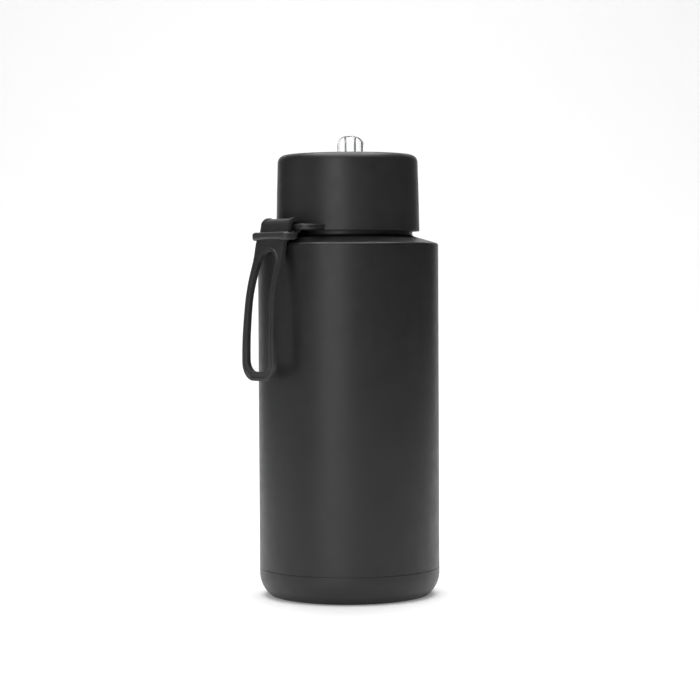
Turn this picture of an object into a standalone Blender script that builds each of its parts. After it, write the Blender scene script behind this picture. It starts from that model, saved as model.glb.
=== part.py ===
"""An insulated steel water bottle: double wall, screw lid, fold-down spout and rubber carry strap.

The origin is on the bottle's axis where its base rests, +Z is up and -X points to the strap.
Lid pieces are modelled in the lid's own frame, whose -Y is the spout's front. The strap and its
keeper are modelled about their hinge, with +X pointing outwards and +Z up.
"""

import math

import bmesh
import bpy
from mathutils import Matrix, Vector

MM = 0.001
LARGE_STEPS = 36
SMALL_STEPS = 16
FIT = 0.3 * MM

# Body
BODY_RADIUS = 46.5 * MM
NECK_FOOT_Z = 185.1 * MM
SHOULDER_SLOPE = math.radians(16.6)
SHOULDER_ROUND = 1.5 * MM
STEEL = 0.6 * MM
VACUUM_GAP = 2.9 * MM
SEAM_Z = 14.6 * MM
SEAM_GAP = 0.6 * MM
BASE_ROUND = 14.9 * MM
BASE_ROUND_Z = 12.0 * MM
PAD_PROUD = 0.4 * MM
PAD_THICKNESS = 1.6 * MM
LINER_FLOOR_Z = 13.0 * MM
LINER_ROUND = 12.0 * MM
LINER_JOIN_Z = 28.0 * MM
GETTER_RADIUS = 5.0 * MM
GETTER_OFFSET = 17.0 * MM
EVACUATION_RADIUS = 1.5 * MM

# Neck and thread
THREAD_ROOT = 31.8 * MM
THREAD_DEPTH = 1.4 * MM
THREAD_PITCH = 6.0 * MM
THREAD_CREST_WIDTH = 1.2 * MM
THREAD_ROOT_WIDTH = 3.0 * MM
THREAD_PLAY = 0.5 * MM
THREAD_FLANK_GAP = 0.35 * MM
THREAD_TURN = 450.0
LID_THREAD_START = 90.0
THREAD_START_Z = NECK_FOOT_Z + 6.8 * MM
NECK_WALL = 0.8 * MM
NECK_GAP = 1.4 * MM
NECK_HEIGHT = 19.9 * MM
LIP = 1.0 * MM

# Lid
LID_GAP = 2.4 * MM
LID_HEIGHT = 39.3 * MM
LID_WALL = 2.0 * MM
LID_DRAFT = 1.0 * MM
LID_ROUND = 4.0 * MM
CORE_WALL = 0.9 * MM
CORE_DISC = 2.0 * MM
GASKET = 2.0 * MM
TRAY_WALL = 1.4 * MM
TRAY_FLOOR = 1.8 * MM
PORT_GAP = 1.4 * MM
TRAY_LIP_DROP = 2.7 * MM
TRAY_LIP = 1.6 * MM
SPOUT_FROM_STRAP = math.radians(40.0)

# Spout and straw
SPOUT_BACK = 7.3 * MM
SPOUT_WIDTH = 13.3 * MM
SPOUT_THICKNESS = 6.6 * MM
SPOUT_PROUD = 10.3 * MM
SPOUT_ROUND = 5.0 * MM
SPOUT_EDGE = 1.6 * MM
HUB_RADIUS = 4.3 * MM
PIVOT_LIFT = 5.2 * MM
CHANNEL_WIDTH = 6.0 * MM
CHANNEL_THICKNESS = 2.8 * MM
PIN_RADIUS = 1.0 * MM
PIN_PLAY = 0.2 * MM
EAR_WIDTH = 2.4 * MM
EAR_RADIUS = 3.6 * MM
PORT_RADIUS = 2.4 * MM
SEAT_THICKNESS = 1.2 * MM
STRAW_RADIUS = 4.0 * MM
STRAW_WALL = 0.8 * MM
STRAW_FOOT_GAP = 4.5 * MM
SOCKET_WALL = 1.0 * MM
BOSS_WALL = 1.4 * MM
BOSS_DROP = 8.6 * MM
VENT_OFFSET = 18.0 * MM
VENT_RADIUS = 1.2 * MM

# Strap bar, strap and keeper
BAR_HEIGHT = 3.0 * MM
BAR_DEPTH = 2.4 * MM
BAR_LIFT = 0.2 * MM
BAR_REACH = 4.85 * MM
BAR_HALF_SPAN = 19.8 * MM
BAR_CORNER = 6.5 * MM
STRAP_THICKNESS = 2.4 * MM
TONGUE_THICKNESS = 1.8 * MM
TONGUE_BEND = 1.7 * MM
TONGUE_REACH = 0.8 * MM
TONGUE_DROP = 1.9 * MM
FOLD_PLAY = 0.65 * MM
FOLD_RISE = 0.4 * MM
STRAP_TOP_WIDTH = 22.4 * MM
STRAP_FOOT_WIDTH = 27.6 * MM
STRAP_LENGTH = 77.4 * MM
STRAP_LIMB = 4.5 * MM
STRAP_FOOT_ROUND = 9.3 * MM
STRAP_LEAN = 1.4 * MM
STRAP_CLEAR = 1.6 * MM
WINDOW_TOP_DROP = 12.6 * MM
WINDOW_FOOT = 4.6 * MM
KEEPER_WALL = 2.0 * MM
KEEPER_FRONT = 1.7 * MM
KEEPER_BACK = 1.2 * MM
KEEPER_SLACK = 2.0 * MM
KEEPER_HEIGHT = 3.6 * MM
KEEPER_BACK_HEIGHT = 1.4 * MM
KEEPER_BELOW_LID = 0.7 * MM
KEEPER_DROOP = 0.8 * MM

# Sizes that follow
NECK_COLLAR = THREAD_ROOT + THREAD_DEPTH
CORNER_Z = NECK_FOOT_Z - (BODY_RADIUS - NECK_COLLAR) * math.tan(SHOULDER_SLOPE)
LINER_RADIUS = BODY_RADIUS - STEEL - VACUUM_GAP
NECK_BORE = THREAD_ROOT - NECK_WALL
LINER_NECK = NECK_BORE - NECK_GAP
MOUTH_Z = NECK_FOOT_Z + NECK_HEIGHT
LID_FOOT_Z = NECK_FOOT_Z + LID_GAP
LID_TOP_Z = LID_FOOT_Z + LID_HEIGHT
CORE_ROOT = NECK_COLLAR + THREAD_PLAY
CORE_RADIUS = CORE_ROOT + CORE_WALL
LID_BORE = CORE_RADIUS + FIT
LID_RADIUS = LID_BORE + LID_WALL
LID_TOP_RADIUS = LID_RADIUS - LID_DRAFT
GASKET_Z = MOUTH_Z + FIT
DISC_Z = GASKET_Z + GASKET + FIT
TRAY_FLOOR_Z = DISC_Z + CORE_DISC + PORT_GAP + TRAY_FLOOR
TRAY_RADIUS = LID_TOP_RADIUS - LID_ROUND - 0.9 * MM
TRAY_BORE = TRAY_RADIUS - TRAY_WALL
PIVOT_Z = TRAY_FLOOR_Z + PIVOT_LIFT
SPOUT_TOP = LID_TOP_Z + SPOUT_PROUD - PIVOT_Z
BAR_RADIUS = LID_RADIUS + BAR_REACH
BAR_Z = LID_FOOT_Z + BAR_LIFT + BAR_HEIGHT / 2
HINGE_Z = BAR_Z + FOLD_RISE
FOLD_RADIUS = BAR_HEIGHT / 2 + FOLD_PLAY
KEEPER_TOP = LID_FOOT_Z - KEEPER_BELOW_LID - HINGE_Z
LID_FRAME_TURN = math.radians(90) - SPOUT_FROM_STRAP

parts = None
cutters = None


def clear_scene():
    """Removes whatever the file held."""
    for old in list(bpy.data.objects):
        bpy.data.objects.remove(old)


def new_collection(name):
    collection = bpy.data.collections.new(name)
    bpy.context.scene.collection.children.link(collection)
    return collection


def finish(name, colour, roughness, metallic=0.0, alpha=1.0):
    """A material for one sub-part."""
    material = bpy.data.materials.new(name)
    material.use_nodes = True
    shader = material.node_tree.nodes["Principled BSDF"]
    shader.inputs["Base Color"].default_value = (*colour, 1.0)
    shader.inputs["Roughness"].default_value = roughness
    shader.inputs["Metallic"].default_value = metallic
    shader.inputs["Alpha"].default_value = alpha
    return material


def frame(name, place, turn):
    """An empty that places the pieces of one assembly, on their joint's axis."""
    empty = bpy.data.objects.new(name, None)
    empty.location = place
    empty.rotation_euler = (0.0, 0.0, turn)
    parts.objects.link(empty)
    return empty


def add(name, mesh, material=None, parent=None):
    """Links a mesh as a part, or as a cutter where it has no material."""
    piece = bpy.data.objects.new(name, mesh)
    piece.parent = parent
    if material is None:
        cutters.objects.link(piece)
        piece.hide_render = True
        piece.display_type = "WIRE"
    else:
        parts.objects.link(piece)
        mesh.materials.append(material)
    return piece


def boolean(piece, operation, other):
    modifier = piece.modifiers.new(other.name, "BOOLEAN")
    modifier.operation = operation
    modifier.solver = "EXACT"
    modifier.object = other
    return piece


def cut(piece, *others):
    for other in others:
        boolean(piece, "DIFFERENCE", other)
    return piece


def join(piece, *others):
    for other in others:
        boolean(piece, "UNION", other)
    return piece


def arc(centre, radius, start, end, steps):
    """Points of an arc in a plane, from one angle in degrees to another."""
    angles = [math.radians(start + (end - start) * i / steps) for i in range(steps + 1)]
    return [(centre[0] + radius * math.cos(a), centre[1] + radius * math.sin(a)) for a in angles]


def turned(name, profile, material=None, parent=None, centre=(0.0, 0.0), steps=LARGE_STEPS):
    """A turned piece: (radius, height) points that run down its outer side, about a vertical axis."""
    on_axis = profile[0][0] == 0.0 and profile[-1][0] == 0.0
    count = len(profile)
    edges = [(i, i + 1) for i in range(count - 1)]
    if not on_axis:
        edges.append((count - 1, 0))
    mesh = bpy.data.meshes.new(name)
    mesh.from_pydata([(r, 0.0, z) for r, z in profile], edges, [])
    piece = add(name, mesh, material, parent)
    piece.location = (*centre, 0.0)
    screw = piece.modifiers.new("Turn", "SCREW")
    screw.steps = screw.render_steps = steps
    screw.use_merge_vertices = True
    screw.merge_threshold = 0.00001
    screw.use_smooth_shade = True
    return piece


def rod(name, radius, top, foot, material=None, parent=None, centre=(0.0, 0.0), steps=SMALL_STEPS):
    return turned(name, [(0.0, top), (radius, top), (radius, foot), (0.0, foot)], material, parent, centre, steps)


def prism(name, outline, low, high, axes, material=None, parent=None):
    """A flat outline made solid between two levels. axes maps (across, up, level) to x, y and z."""
    work = bmesh.new()
    face = work.faces.new([work.verts.new(Vector([*point, low][i] for i in axes)) for point in outline])
    raised = bmesh.ops.extrude_face_region(work, geom=[face])["geom"]
    lift = Vector([0.0, 0.0, high - low][i] for i in axes)
    bmesh.ops.translate(work, vec=lift, verts=[v for v in raised if isinstance(v, bmesh.types.BMVert)])
    bmesh.ops.recalc_face_normals(work, faces=work.faces)
    return add(name, to_mesh(name, work), material, parent)


def to_mesh(name, work):
    mesh = bpy.data.meshes.new(name)
    work.to_mesh(mesh)
    work.free()
    return mesh


def loft(name, sections, ring=False, material=None, parent=None):
    """A solid through a row of loops with equal counts of points, capped at its ends or joined in a ring."""
    work = bmesh.new()
    loops = [[work.verts.new(point) for point in section] for section in sections]
    pairs = list(zip(loops, loops[1:]))
    if ring:
        pairs.append((loops[-1], loops[0]))
    for near, far in pairs:
        for i in range(len(near)):
            j = (i + 1) % len(near)
            work.faces.new((near[i], near[j], far[j], far[i]))
    if not ring:
        work.faces.new(loops[0])
        work.faces.new(loops[-1])
    bmesh.ops.recalc_face_normals(work, faces=work.faces)
    return add(name, to_mesh(name, work), material, parent)


def thread(name, root, crest, start_turn, end_turn, lift, parent=None):
    """A helical ridge from its buried root to its crest, running out to nothing at both ends."""
    buried = root - math.copysign(0.45 * MM, crest - root)
    run_out = 25.0
    sections = []
    count = round((end_turn - start_turn) / 9.0)
    for i in range(count + 1):
        turn = start_turn + (end_turn - start_turn) * i / count
        rise = min(1.0, (turn - start_turn) / run_out, (end_turn - turn) / run_out)
        tip = buried + (crest - buried) * (0.25 + 0.75 * rise)
        z = THREAD_START_Z + THREAD_PITCH * turn / 360.0 + lift
        half_root, half_tip = THREAD_ROOT_WIDTH / 2, THREAD_CREST_WIDTH / 2
        shape = [(buried, z - half_root), (tip, z - half_tip), (tip, z + half_tip), (buried, z + half_root)]
        angle = math.radians(turn)
        sections.append([(r * math.cos(angle), r * math.sin(angle), h) for r, h in shape])
    return loft(name, sections, parent=parent)


# ---- Bottle ----


def shoulder_z(radius, below=0.0):
    """Height of the shoulder's cone at a radius, or of a surface that lies square below it."""
    return NECK_FOOT_Z - (radius - NECK_COLLAR) * math.tan(SHOULDER_SLOPE) - below / math.cos(SHOULDER_SLOPE)


def shoulder_curve(wall, foot, below, corner, steps):
    """The rounded corner from a shoulder's cone down to its straight wall."""
    trim = corner * math.tan((math.pi / 2 - SHOULDER_SLOPE) / 2)
    sharp = shoulder_z(wall, below)
    curve = arc((wall - corner, sharp - trim), corner, 90 - math.degrees(SHOULDER_SLOPE), 0, steps)
    return curve + [(wall, foot)]


def build_outer_shell(steel):
    wall = BODY_RADIUS - STEEL
    collar = NECK_COLLAR - NECK_WALL
    seam = SEAM_Z + SEAM_GAP / 2
    blend = 1.3 * MM
    neck_foot = shoulder_z(NECK_COLLAR + blend)
    thread_foot = LID_FOOT_Z + 1.3 * MM
    outside = [
        (THREAD_ROOT, MOUTH_Z - LIP - FIT),
        (THREAD_ROOT, thread_foot + 0.7 * MM),
        (NECK_COLLAR, thread_foot),
        (NECK_COLLAR, neck_foot + 1.4 * MM),
        (NECK_COLLAR + 0.35 * MM, neck_foot + 0.5 * MM),
        (NECK_COLLAR + blend, neck_foot),
        *shoulder_curve(BODY_RADIUS, seam, 0.0, SHOULDER_ROUND, 4),
    ]
    inside = [
        *reversed(shoulder_curve(wall, seam, STEEL, SHOULDER_ROUND - STEEL, 2)),
        (NECK_COLLAR + 0.5 * MM, shoulder_z(NECK_COLLAR + 0.5 * MM, STEEL)),
        (collar, neck_foot + 0.9 * MM),
        (collar, thread_foot - 0.3 * MM),
        (NECK_BORE, thread_foot + 0.4 * MM),
        (NECK_BORE, MOUTH_Z - LIP - FIT),
    ]
    shell = turned("outer_shell", outside + inside, steel)
    ridge = thread("neck_thread", THREAD_ROOT, NECK_COLLAR, 0.0, THREAD_TURN, 0.0)
    return join(shell, ridge)


def build_outer_base(steel):
    centre = (BODY_RADIUS - BASE_ROUND, BASE_ROUND_Z)
    inner_round = BASE_ROUND - STEEL
    sweep = math.degrees(math.asin((BASE_ROUND_Z - PAD_PROUD) / BASE_ROUND))
    top = SEAM_Z - SEAM_GAP / 2
    recess = PAD_THICKNESS + FIT
    outside = [(BODY_RADIUS, top), *arc(centre, BASE_ROUND, 0, -sweep, 6)]
    rim = outside[-1][0] - 0.9 * MM
    inner_sweep = math.degrees(math.asin((BASE_ROUND_Z - recess - STEEL) / inner_round))
    inside = [*arc(centre, inner_round, -inner_sweep, 0, 5), (BODY_RADIUS - STEEL, top)]
    foot = [(rim, PAD_PROUD), (rim - 0.3 * MM, recess), (0.0, recess)]
    turned("outer_base", [(0.0, recess + STEEL), *inside, *outside, *foot], steel)
    return rim - 0.6 * MM


def build_base_pad(radius, rubber):
    chamfer = 0.35 * MM
    profile = [(0.0, PAD_THICKNESS), (radius, PAD_THICKNESS), (radius, chamfer), (radius - chamfer, 0.0)]
    turned("base_pad", [*profile, (0.0, 0.0)], rubber)


def build_middle_base(steel, glass, getter_metal):
    """The disc that closes the vacuum space, its plugged evacuation hole and the getter on it."""
    skirt = BODY_RADIUS - STEEL - FIT
    disc = LINER_FLOOR_Z - STEEL - VACUUM_GAP - 0.9 * MM
    knee = SEAM_Z - 2.9 * MM
    profile = [
        (EVACUATION_RADIUS, disc + STEEL),
        (skirt - 2.4 * MM, disc + STEEL),
        (skirt - STEEL, knee + 0.2 * MM),
        (skirt - STEEL, SEAM_Z + 6.9 * MM),
        (skirt, SEAM_Z + 6.9 * MM),
        (skirt, knee),
        (skirt - 2.1 * MM, disc),
        (EVACUATION_RADIUS, disc),
    ]
    turned("middle_base", profile, steel)
    stem = EVACUATION_RADIUS - FIT
    cap = disc - FIT
    bead = [(0.0, disc + 0.4 * MM), (stem, disc + 0.4 * MM), (stem, cap), (2.8 * MM, cap)]
    bead += [(2.3 * MM, cap - 0.7 * MM), (0.0, cap - 0.9 * MM)]
    turned("vacuum_seal", bead, glass, steps=SMALL_STEPS)
    foot = disc + STEEL + FIT
    capsule = [(0.0, foot + 1.8 * MM), (GETTER_RADIUS - 0.5 * MM, foot + 1.8 * MM)]
    capsule += [(GETTER_RADIUS, foot + 1.3 * MM), (GETTER_RADIUS, foot), (0.0, foot)]
    turned("getter", capsule, getter_metal, centre=(0.0, GETTER_OFFSET), steps=SMALL_STEPS)


def build_liner(steel):
    """The inner wall with its lip over the outer neck, and the drawn bottom that closes it."""
    inner = LINER_RADIUS - STEEL
    below = STEEL + VACUUM_GAP
    bore = LINER_NECK - STEEL
    bend = shoulder_z(LINER_NECK + 1.2 * MM, below)
    outside = [
        (THREAD_ROOT - 0.3 * MM, MOUTH_Z),
        (THREAD_ROOT, MOUTH_Z - 0.3 * MM),
        (THREAD_ROOT, MOUTH_Z - LIP),
        (LINER_NECK, MOUTH_Z - LIP),
        (LINER_NECK, bend + 1.6 * MM),
        (LINER_NECK + 1.2 * MM, bend),
        *shoulder_curve(LINER_RADIUS, LINER_JOIN_Z, below, 3.0 * MM, 3),
    ]
    inside = [
        *reversed(shoulder_curve(inner, LINER_JOIN_Z, below + STEEL, 3.0 * MM - STEEL, 3)),
        (LINER_NECK + 0.9 * MM, shoulder_z(LINER_NECK + 0.9 * MM, below + STEEL)),
        (bore, bend + 1.3 * MM),
        (bore, MOUTH_Z - 0.3 * MM),
        (bore + 0.3 * MM, MOUTH_Z),
    ]
    turned("inner_liner", outside + inside, steel)
    centre = (LINER_RADIUS - LINER_ROUND, LINER_FLOOR_Z - STEEL + LINER_ROUND)
    top = LINER_JOIN_Z - FIT
    cup = [(0.0, LINER_FLOOR_Z), *arc(centre, LINER_ROUND - STEEL, -90, 0, 4), (inner, top)]
    cup += [(LINER_RADIUS, top), *arc(centre, LINER_ROUND, 0, -90, 5), (0.0, LINER_FLOOR_Z - STEEL)]
    turned("inner_base", cup, steel)


# ---- Lid ----


def build_mouth_gasket(silicone):
    inner = LINER_NECK - 1.2 * MM
    outer = THREAD_ROOT + 0.4 * MM
    top = GASKET_Z + GASKET
    turned("mouth_gasket", [(inner, top), (outer, top), (outer, GASKET_Z), (inner, GASKET_Z)], silicone)


def build_lid_shell(plastic):
    """The cap's outer wall, open at the top for the tray, with the strap's bar on its lower edge."""
    centre = (LID_TOP_RADIUS - LID_ROUND, LID_TOP_Z - LID_ROUND)
    opening = TRAY_RADIUS + FIT
    step_z = DISC_Z + CORE_DISC + FIT
    upper_bore = TRAY_RADIUS + TRAY_LIP + 1.4 * MM
    roof = LID_TOP_Z - TRAY_LIP_DROP + FIT
    profile = [
        (opening, LID_TOP_Z - 0.5 * MM),
        (opening + 0.5 * MM, LID_TOP_Z),
        *arc(centre, LID_ROUND, 90, 0, 5),
        (LID_RADIUS - 0.4 * MM, (LID_FOOT_Z + LID_TOP_Z) / 2),
        (LID_RADIUS, LID_FOOT_Z + 0.4 * MM),
        (LID_RADIUS - 0.3 * MM, LID_FOOT_Z),
        (LID_BORE + 0.3 * MM, LID_FOOT_Z),
        (LID_BORE, LID_FOOT_Z + 0.3 * MM),
        (LID_BORE, step_z),
        (upper_bore, step_z + 1.2 * MM),
        (upper_bore, roof - 1.2 * MM),
        (upper_bore - 1.2 * MM, roof),
        (opening, roof),
    ]
    shell = turned("lid_shell", profile, plastic)
    outer = bar_outline(BAR_DEPTH / 2)
    inner = bar_outline(-BAR_DEPTH / 2)
    foot = BAR_Z - BAR_HEIGHT / 2
    bar = prism("strap_bar", outer + inner[::-1], foot, foot + BAR_HEIGHT, (0, 1, 2))
    edge = bar.modifiers.new("Round", "BEVEL")
    edge.width = 0.7 * MM
    edge.segments = 2
    return join(shell, bar)


def bar_outline(offset):
    """One side of the strap bar in plan, from wall to wall. The bar stands off towards -X."""
    span = BAR_HALF_SPAN + offset
    reach = BAR_RADIUS + offset
    corner = BAR_CORNER + offset
    root = math.sqrt(LID_RADIUS**2 - BAR_HALF_SPAN**2) - 1.35 * MM
    side = [(root, span), *arc((reach - corner, span - corner), corner, 90, 0, 6)]
    half = [(-x, y) for x, y in side]
    return half + [(x, -y) for x, y in reversed(half)]


def build_lid_core(plastic, lid):
    """The inner body: its thread, the disc that holds the gasket down and the straw's boss."""
    disc_top = DISC_Z + CORE_DISC
    foot = LID_FOOT_Z + 1.1 * MM
    spigot = LINER_NECK - STEEL - 1.4 * MM
    spigot_wall = 1.6 * MM
    spigot_foot = MOUTH_Z - 4.0 * MM
    profile = [
        (0.0, disc_top),
        (CORE_RADIUS, disc_top),
        (CORE_RADIUS, foot),
        (CORE_ROOT, foot),
        (CORE_ROOT, DISC_Z),
        (spigot, DISC_Z),
        (spigot, spigot_foot),
        (spigot - spigot_wall, spigot_foot),
        (spigot - spigot_wall, DISC_Z),
        (0.0, DISC_Z),
    ]
    core = turned("lid_core", profile, plastic, lid)
    port = (0.0, SPOUT_BACK)
    bore = STRAW_RADIUS + SOCKET_WALL + 2 * FIT
    collar = bore + BOSS_WALL
    boss_foot = DISC_Z - BOSS_DROP
    ring = [(bore, DISC_Z + 0.5 * MM), (collar, DISC_Z + 0.5 * MM), (collar, boss_foot), (bore, boss_foot)]
    boss = turned("straw_boss", ring, None, lid, port, SMALL_STEPS)
    flank = (THREAD_ROOT_WIDTH - THREAD_CREST_WIDTH) / 2 / THREAD_DEPTH
    spacing = THREAD_CREST_WIDTH + flank * (THREAD_DEPTH - THREAD_PLAY) + THREAD_FLANK_GAP
    shift = -spacing - THREAD_PITCH * LID_FRAME_TURN / (2 * math.pi)
    tip = CORE_ROOT - THREAD_DEPTH
    ridge = thread("lid_thread", CORE_ROOT, tip, LID_THREAD_START, THREAD_TURN, shift, lid)
    port_hole = rod("core_port", PORT_RADIUS, disc_top + 1 * MM, DISC_Z - 1 * MM, None, lid, port)
    vent = rod("core_vent", VENT_RADIUS + FIT, disc_top + 1 * MM, DISC_Z - 1 * MM, None, lid, (0.0, VENT_OFFSET))
    return cut(join(core, boss, ridge), port_hole, vent)


def build_lid_tray(plastic, lid):
    """The recess in the lid's top, with the ears that carry the spout's pins."""
    foot = TRAY_FLOOR_Z - TRAY_FLOOR
    lip = LID_TOP_Z - TRAY_LIP_DROP
    rim = LID_TOP_Z - 0.6 * MM
    lip_radius = TRAY_RADIUS + TRAY_LIP
    profile = [
        (0.0, TRAY_FLOOR_Z),
        (TRAY_BORE - 1.0 * MM, TRAY_FLOOR_Z),
        (TRAY_BORE, TRAY_FLOOR_Z + 1.0 * MM),
        (TRAY_BORE, rim),
        (TRAY_RADIUS, rim),
        (TRAY_RADIUS, lip),
        (lip_radius, lip),
        (lip_radius, lip - TRAY_LIP),
        (TRAY_RADIUS, lip - TRAY_LIP),
        (TRAY_RADIUS, foot),
        (0.0, foot),
    ]
    tray = turned("lid_tray", profile, plastic, lid)
    near = SPOUT_WIDTH / 2 + FIT
    root = TRAY_FLOOR_Z - 0.6 * MM
    pivot = (SPOUT_BACK, PIVOT_Z)
    sides = [(SPOUT_BACK - EAR_RADIUS, root), (SPOUT_BACK + EAR_RADIUS, root)]
    outline = sides + arc(pivot, EAR_RADIUS, 0, 180, 8)
    for name, low in (("left_ear", -near - EAR_WIDTH), ("right_ear", near)):
        join(tray, prism(name, outline, low, low + EAR_WIDTH, (2, 0, 1), None, lid))
    pin_hole = arc(pivot, PIN_RADIUS + PIN_PLAY, 0, 337.5, 15)
    reach = near + EAR_WIDTH + 1.0 * MM
    port = (0.0, SPOUT_BACK)
    seat = TRAY_FLOOR_Z - 0.9 * MM
    cut(
        tray,
        prism("tray_pin_hole", pin_hole, -reach, reach, (2, 0, 1), None, lid),
        rod("seat_recess", HUB_RADIUS + FIT, TRAY_FLOOR_Z + 0.5 * MM, seat, None, lid, port),
        rod("tray_port", PORT_RADIUS, TRAY_FLOOR_Z, foot - 1 * MM, None, lid, port),
        rod("air_hole", VENT_RADIUS, TRAY_FLOOR_Z + 1 * MM, foot - 1 * MM, None, lid, (0.0, VENT_OFFSET)),
    )


def build_port_pieces(silicone, clear, lid):
    """The seals round the drinking port, the vent valve, and the straw in its socket."""
    port = (0.0, SPOUT_BACK)
    hub_foot = PIVOT_Z - HUB_RADIUS
    seat_top = hub_foot - FIT
    seat = [(PORT_RADIUS + 0.2 * MM, seat_top), (HUB_RADIUS, seat_top)]
    seat += [(HUB_RADIUS, seat_top - SEAT_THICKNESS), (PORT_RADIUS + 0.2 * MM, seat_top - SEAT_THICKNESS)]
    turned("spout_seat", seat, silicone, lid, port, SMALL_STEPS)
    top = TRAY_FLOOR_Z - TRAY_FLOOR - FIT
    foot = DISC_Z + CORE_DISC + FIT
    inner = PORT_RADIUS + 0.9 * MM
    outer = inner + 1.8 * MM
    turned("port_seal", [(inner, top), (outer, top), (outer, foot), (inner, foot)], silicone, lid, port, SMALL_STEPS)
    cap = DISC_Z - FIT
    head = 3.4 * MM
    valve = [(0.0, top), (VENT_RADIUS, top), (VENT_RADIUS, cap), (head, cap), (head, cap - 0.5 * MM)]
    turned("vent_valve", [*valve, (0.0, cap - 1.0 * MM)], silicone, lid, (0.0, VENT_OFFSET), SMALL_STEPS)
    bore = STRAW_RADIUS + FIT
    sleeve = bore + SOCKET_WALL
    boss_foot = DISC_Z - BOSS_DROP - FIT
    flange = sleeve + BOSS_WALL
    socket = [(bore, DISC_Z - FIT), (sleeve, DISC_Z - FIT), (sleeve, boss_foot), (flange, boss_foot)]
    socket += [(flange, boss_foot - 0.9 * MM), (bore, boss_foot - 0.9 * MM)]
    turned("straw_socket", socket, silicone, lid, port, SMALL_STEPS)
    straw_top = DISC_Z - 2 * FIT
    straw_foot = LINER_FLOOR_Z + STRAW_FOOT_GAP
    inside = STRAW_RADIUS - STRAW_WALL
    tube = [(inside, straw_top), (STRAW_RADIUS, straw_top), (STRAW_RADIUS, straw_foot), (inside, straw_foot)]
    turned("straw", tube, clear, lid, port, SMALL_STEPS)


def build_spout(clear, steel, hinge, lid):
    """The folding spout about its pivot, and the two pins that it turns on."""
    half = SPOUT_WIDTH / 2
    corner = SPOUT_ROUND
    right = arc((half - corner, SPOUT_TOP - corner), corner, 0, 90, 5)
    outline = [(-half, 0.0), (half, 0.0), *right, *[(-x, z) for x, z in reversed(right)]]
    blade = prism("spout", outline, -SPOUT_THICKNESS / 2, SPOUT_THICKNESS / 2, (0, 2, 1), clear, hinge)
    edge = blade.modifiers.new("Round", "BEVEL")
    edge.width = SPOUT_EDGE
    edge.segments = 3
    edge.angle_limit = math.radians(60)
    hub = prism("spout_hub", arc((0, 0), HUB_RADIUS, 0, 342, 19), -half, half, (2, 0, 1), None, hinge)
    slot = CHANNEL_THICKNESS / 2
    straight = CHANNEL_WIDTH / 2 - slot
    channel = arc((straight, 0), slot, -90, 90, 6) + arc((-straight, 0), slot, 90, 270, 6)
    bore = prism("spout_channel", channel, -HUB_RADIUS - 1 * MM, SPOUT_TOP + 1 * MM, (0, 1, 2), None, hinge)
    join(blade, hub)
    cut(blade, bore)
    play = PIN_RADIUS + PIN_PLAY
    depth = 2.6 * MM
    pin_depth = depth - FIT
    pin_out = half + FIT + EAR_WIDTH
    for side, name in ((-1, "left"), (1, "right")):
        ends = sorted((side * (half - depth), side * (half + 1 * MM)))
        cut(blade, prism(f"{name}_pin_hole", arc((0, 0), play, 0, 337.5, 15), *ends, (2, 0, 1), None, hinge))
        ends = sorted((side * (half - pin_depth), side * pin_out))
        pin = arc((SPOUT_BACK, PIVOT_Z), PIN_RADIUS, 0, 330, 11)
        prism(f"spout_pin_{name}", pin, *ends, (2, 0, 1), steel, lid)


# ---- Strap ----


def strap_route():
    """The strap's outer run as (reach, height, half width) stations about the hinge."""
    fold = FOLD_RADIUS + STRAP_THICKNESS / 2
    stand = max(BODY_RADIUS - BAR_RADIUS, fold + STRAP_LEAN)
    corner = CORNER_Z - HINGE_Z
    top, foot = STRAP_TOP_WIDTH / 2, STRAP_FOOT_WIDTH / 2
    grow = (foot - top) / 6
    hang = Vector((stand + 3.3 * MM, corner - 8.5 * MM))
    lean = (hang - Vector((fold, 0.0))).normalized()
    over = Vector((stand, corner)) + Vector((-lean.y, lean.x)) * STRAP_CLEAR
    return [
        (fold, 0.0, top),
        (fold + (over.x - fold) / 3, 0.5 * corner, top + 0.9 * grow),
        (over.x, over.y, top + 1.85 * grow),
        (hang.x, hang.y, top + 2.1 * grow),
        (stand + 6.2 * MM, corner - 18.5 * MM, top + 2.2 * grow),
        (stand + 8.1 * MM, corner - 28.5 * MM, top + 2.65 * grow),
        (stand + 9.15 * MM, corner - 43.5 * MM, top + 4.6 * grow),
        (stand + 9.4 * MM, corner - 55.0 * MM, top + 5.8 * grow),
        (stand + 9.2 * MM, -STRAP_LENGTH, foot),
    ]


def smooth(stations, steps):
    """Points on a smooth curve through the stations, a few to each gap."""
    padded = [stations[0], *stations, stations[-1]]
    points = []
    for a, b, c, d in zip(padded, padded[1:], padded[2:], padded[3:]):
        for i in range(steps):
            t = i / steps
            points.append([
                0.5 * (2 * q + (r - p) * t + (2 * p - 5 * q + 4 * r - s) * t**2 + (3 * q - p - 3 * r + s) * t**3)
                for p, q, r, s in zip(a, b, c, d)
            ])
    return points + [list(stations[-1])]


def tongue_route():
    """The tucked end: back round the bar from the fold's inner side and down behind the outer run."""
    half = TONGUE_THICKNESS / 2
    radius = FOLD_RADIUS + half
    lap = arc((0, 0), radius, 180, 264, 6)
    x, z = lap[-1]
    elbow = arc((x + TONGUE_REACH, z - TONGUE_BEND), TONGUE_BEND, 84, 15, 5)
    x, z = elbow[-1]
    lean = math.radians(15)
    end = (x + TONGUE_DROP * math.sin(lean), z - TONGUE_DROP * math.cos(lean))
    return [(x, z, half) for x, z in [*lap, *elbow, end]]


def reach_at(route, height):
    """The reach of a route that comes down, where it passes a height."""
    for above, below in zip(route, route[1:]):
        if above[1] >= height >= below[1]:
            share = (above[1] - height) / (above[1] - below[1])
            return above[0] + (below[0] - above[0]) * share
    return route[-1][0]


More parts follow.
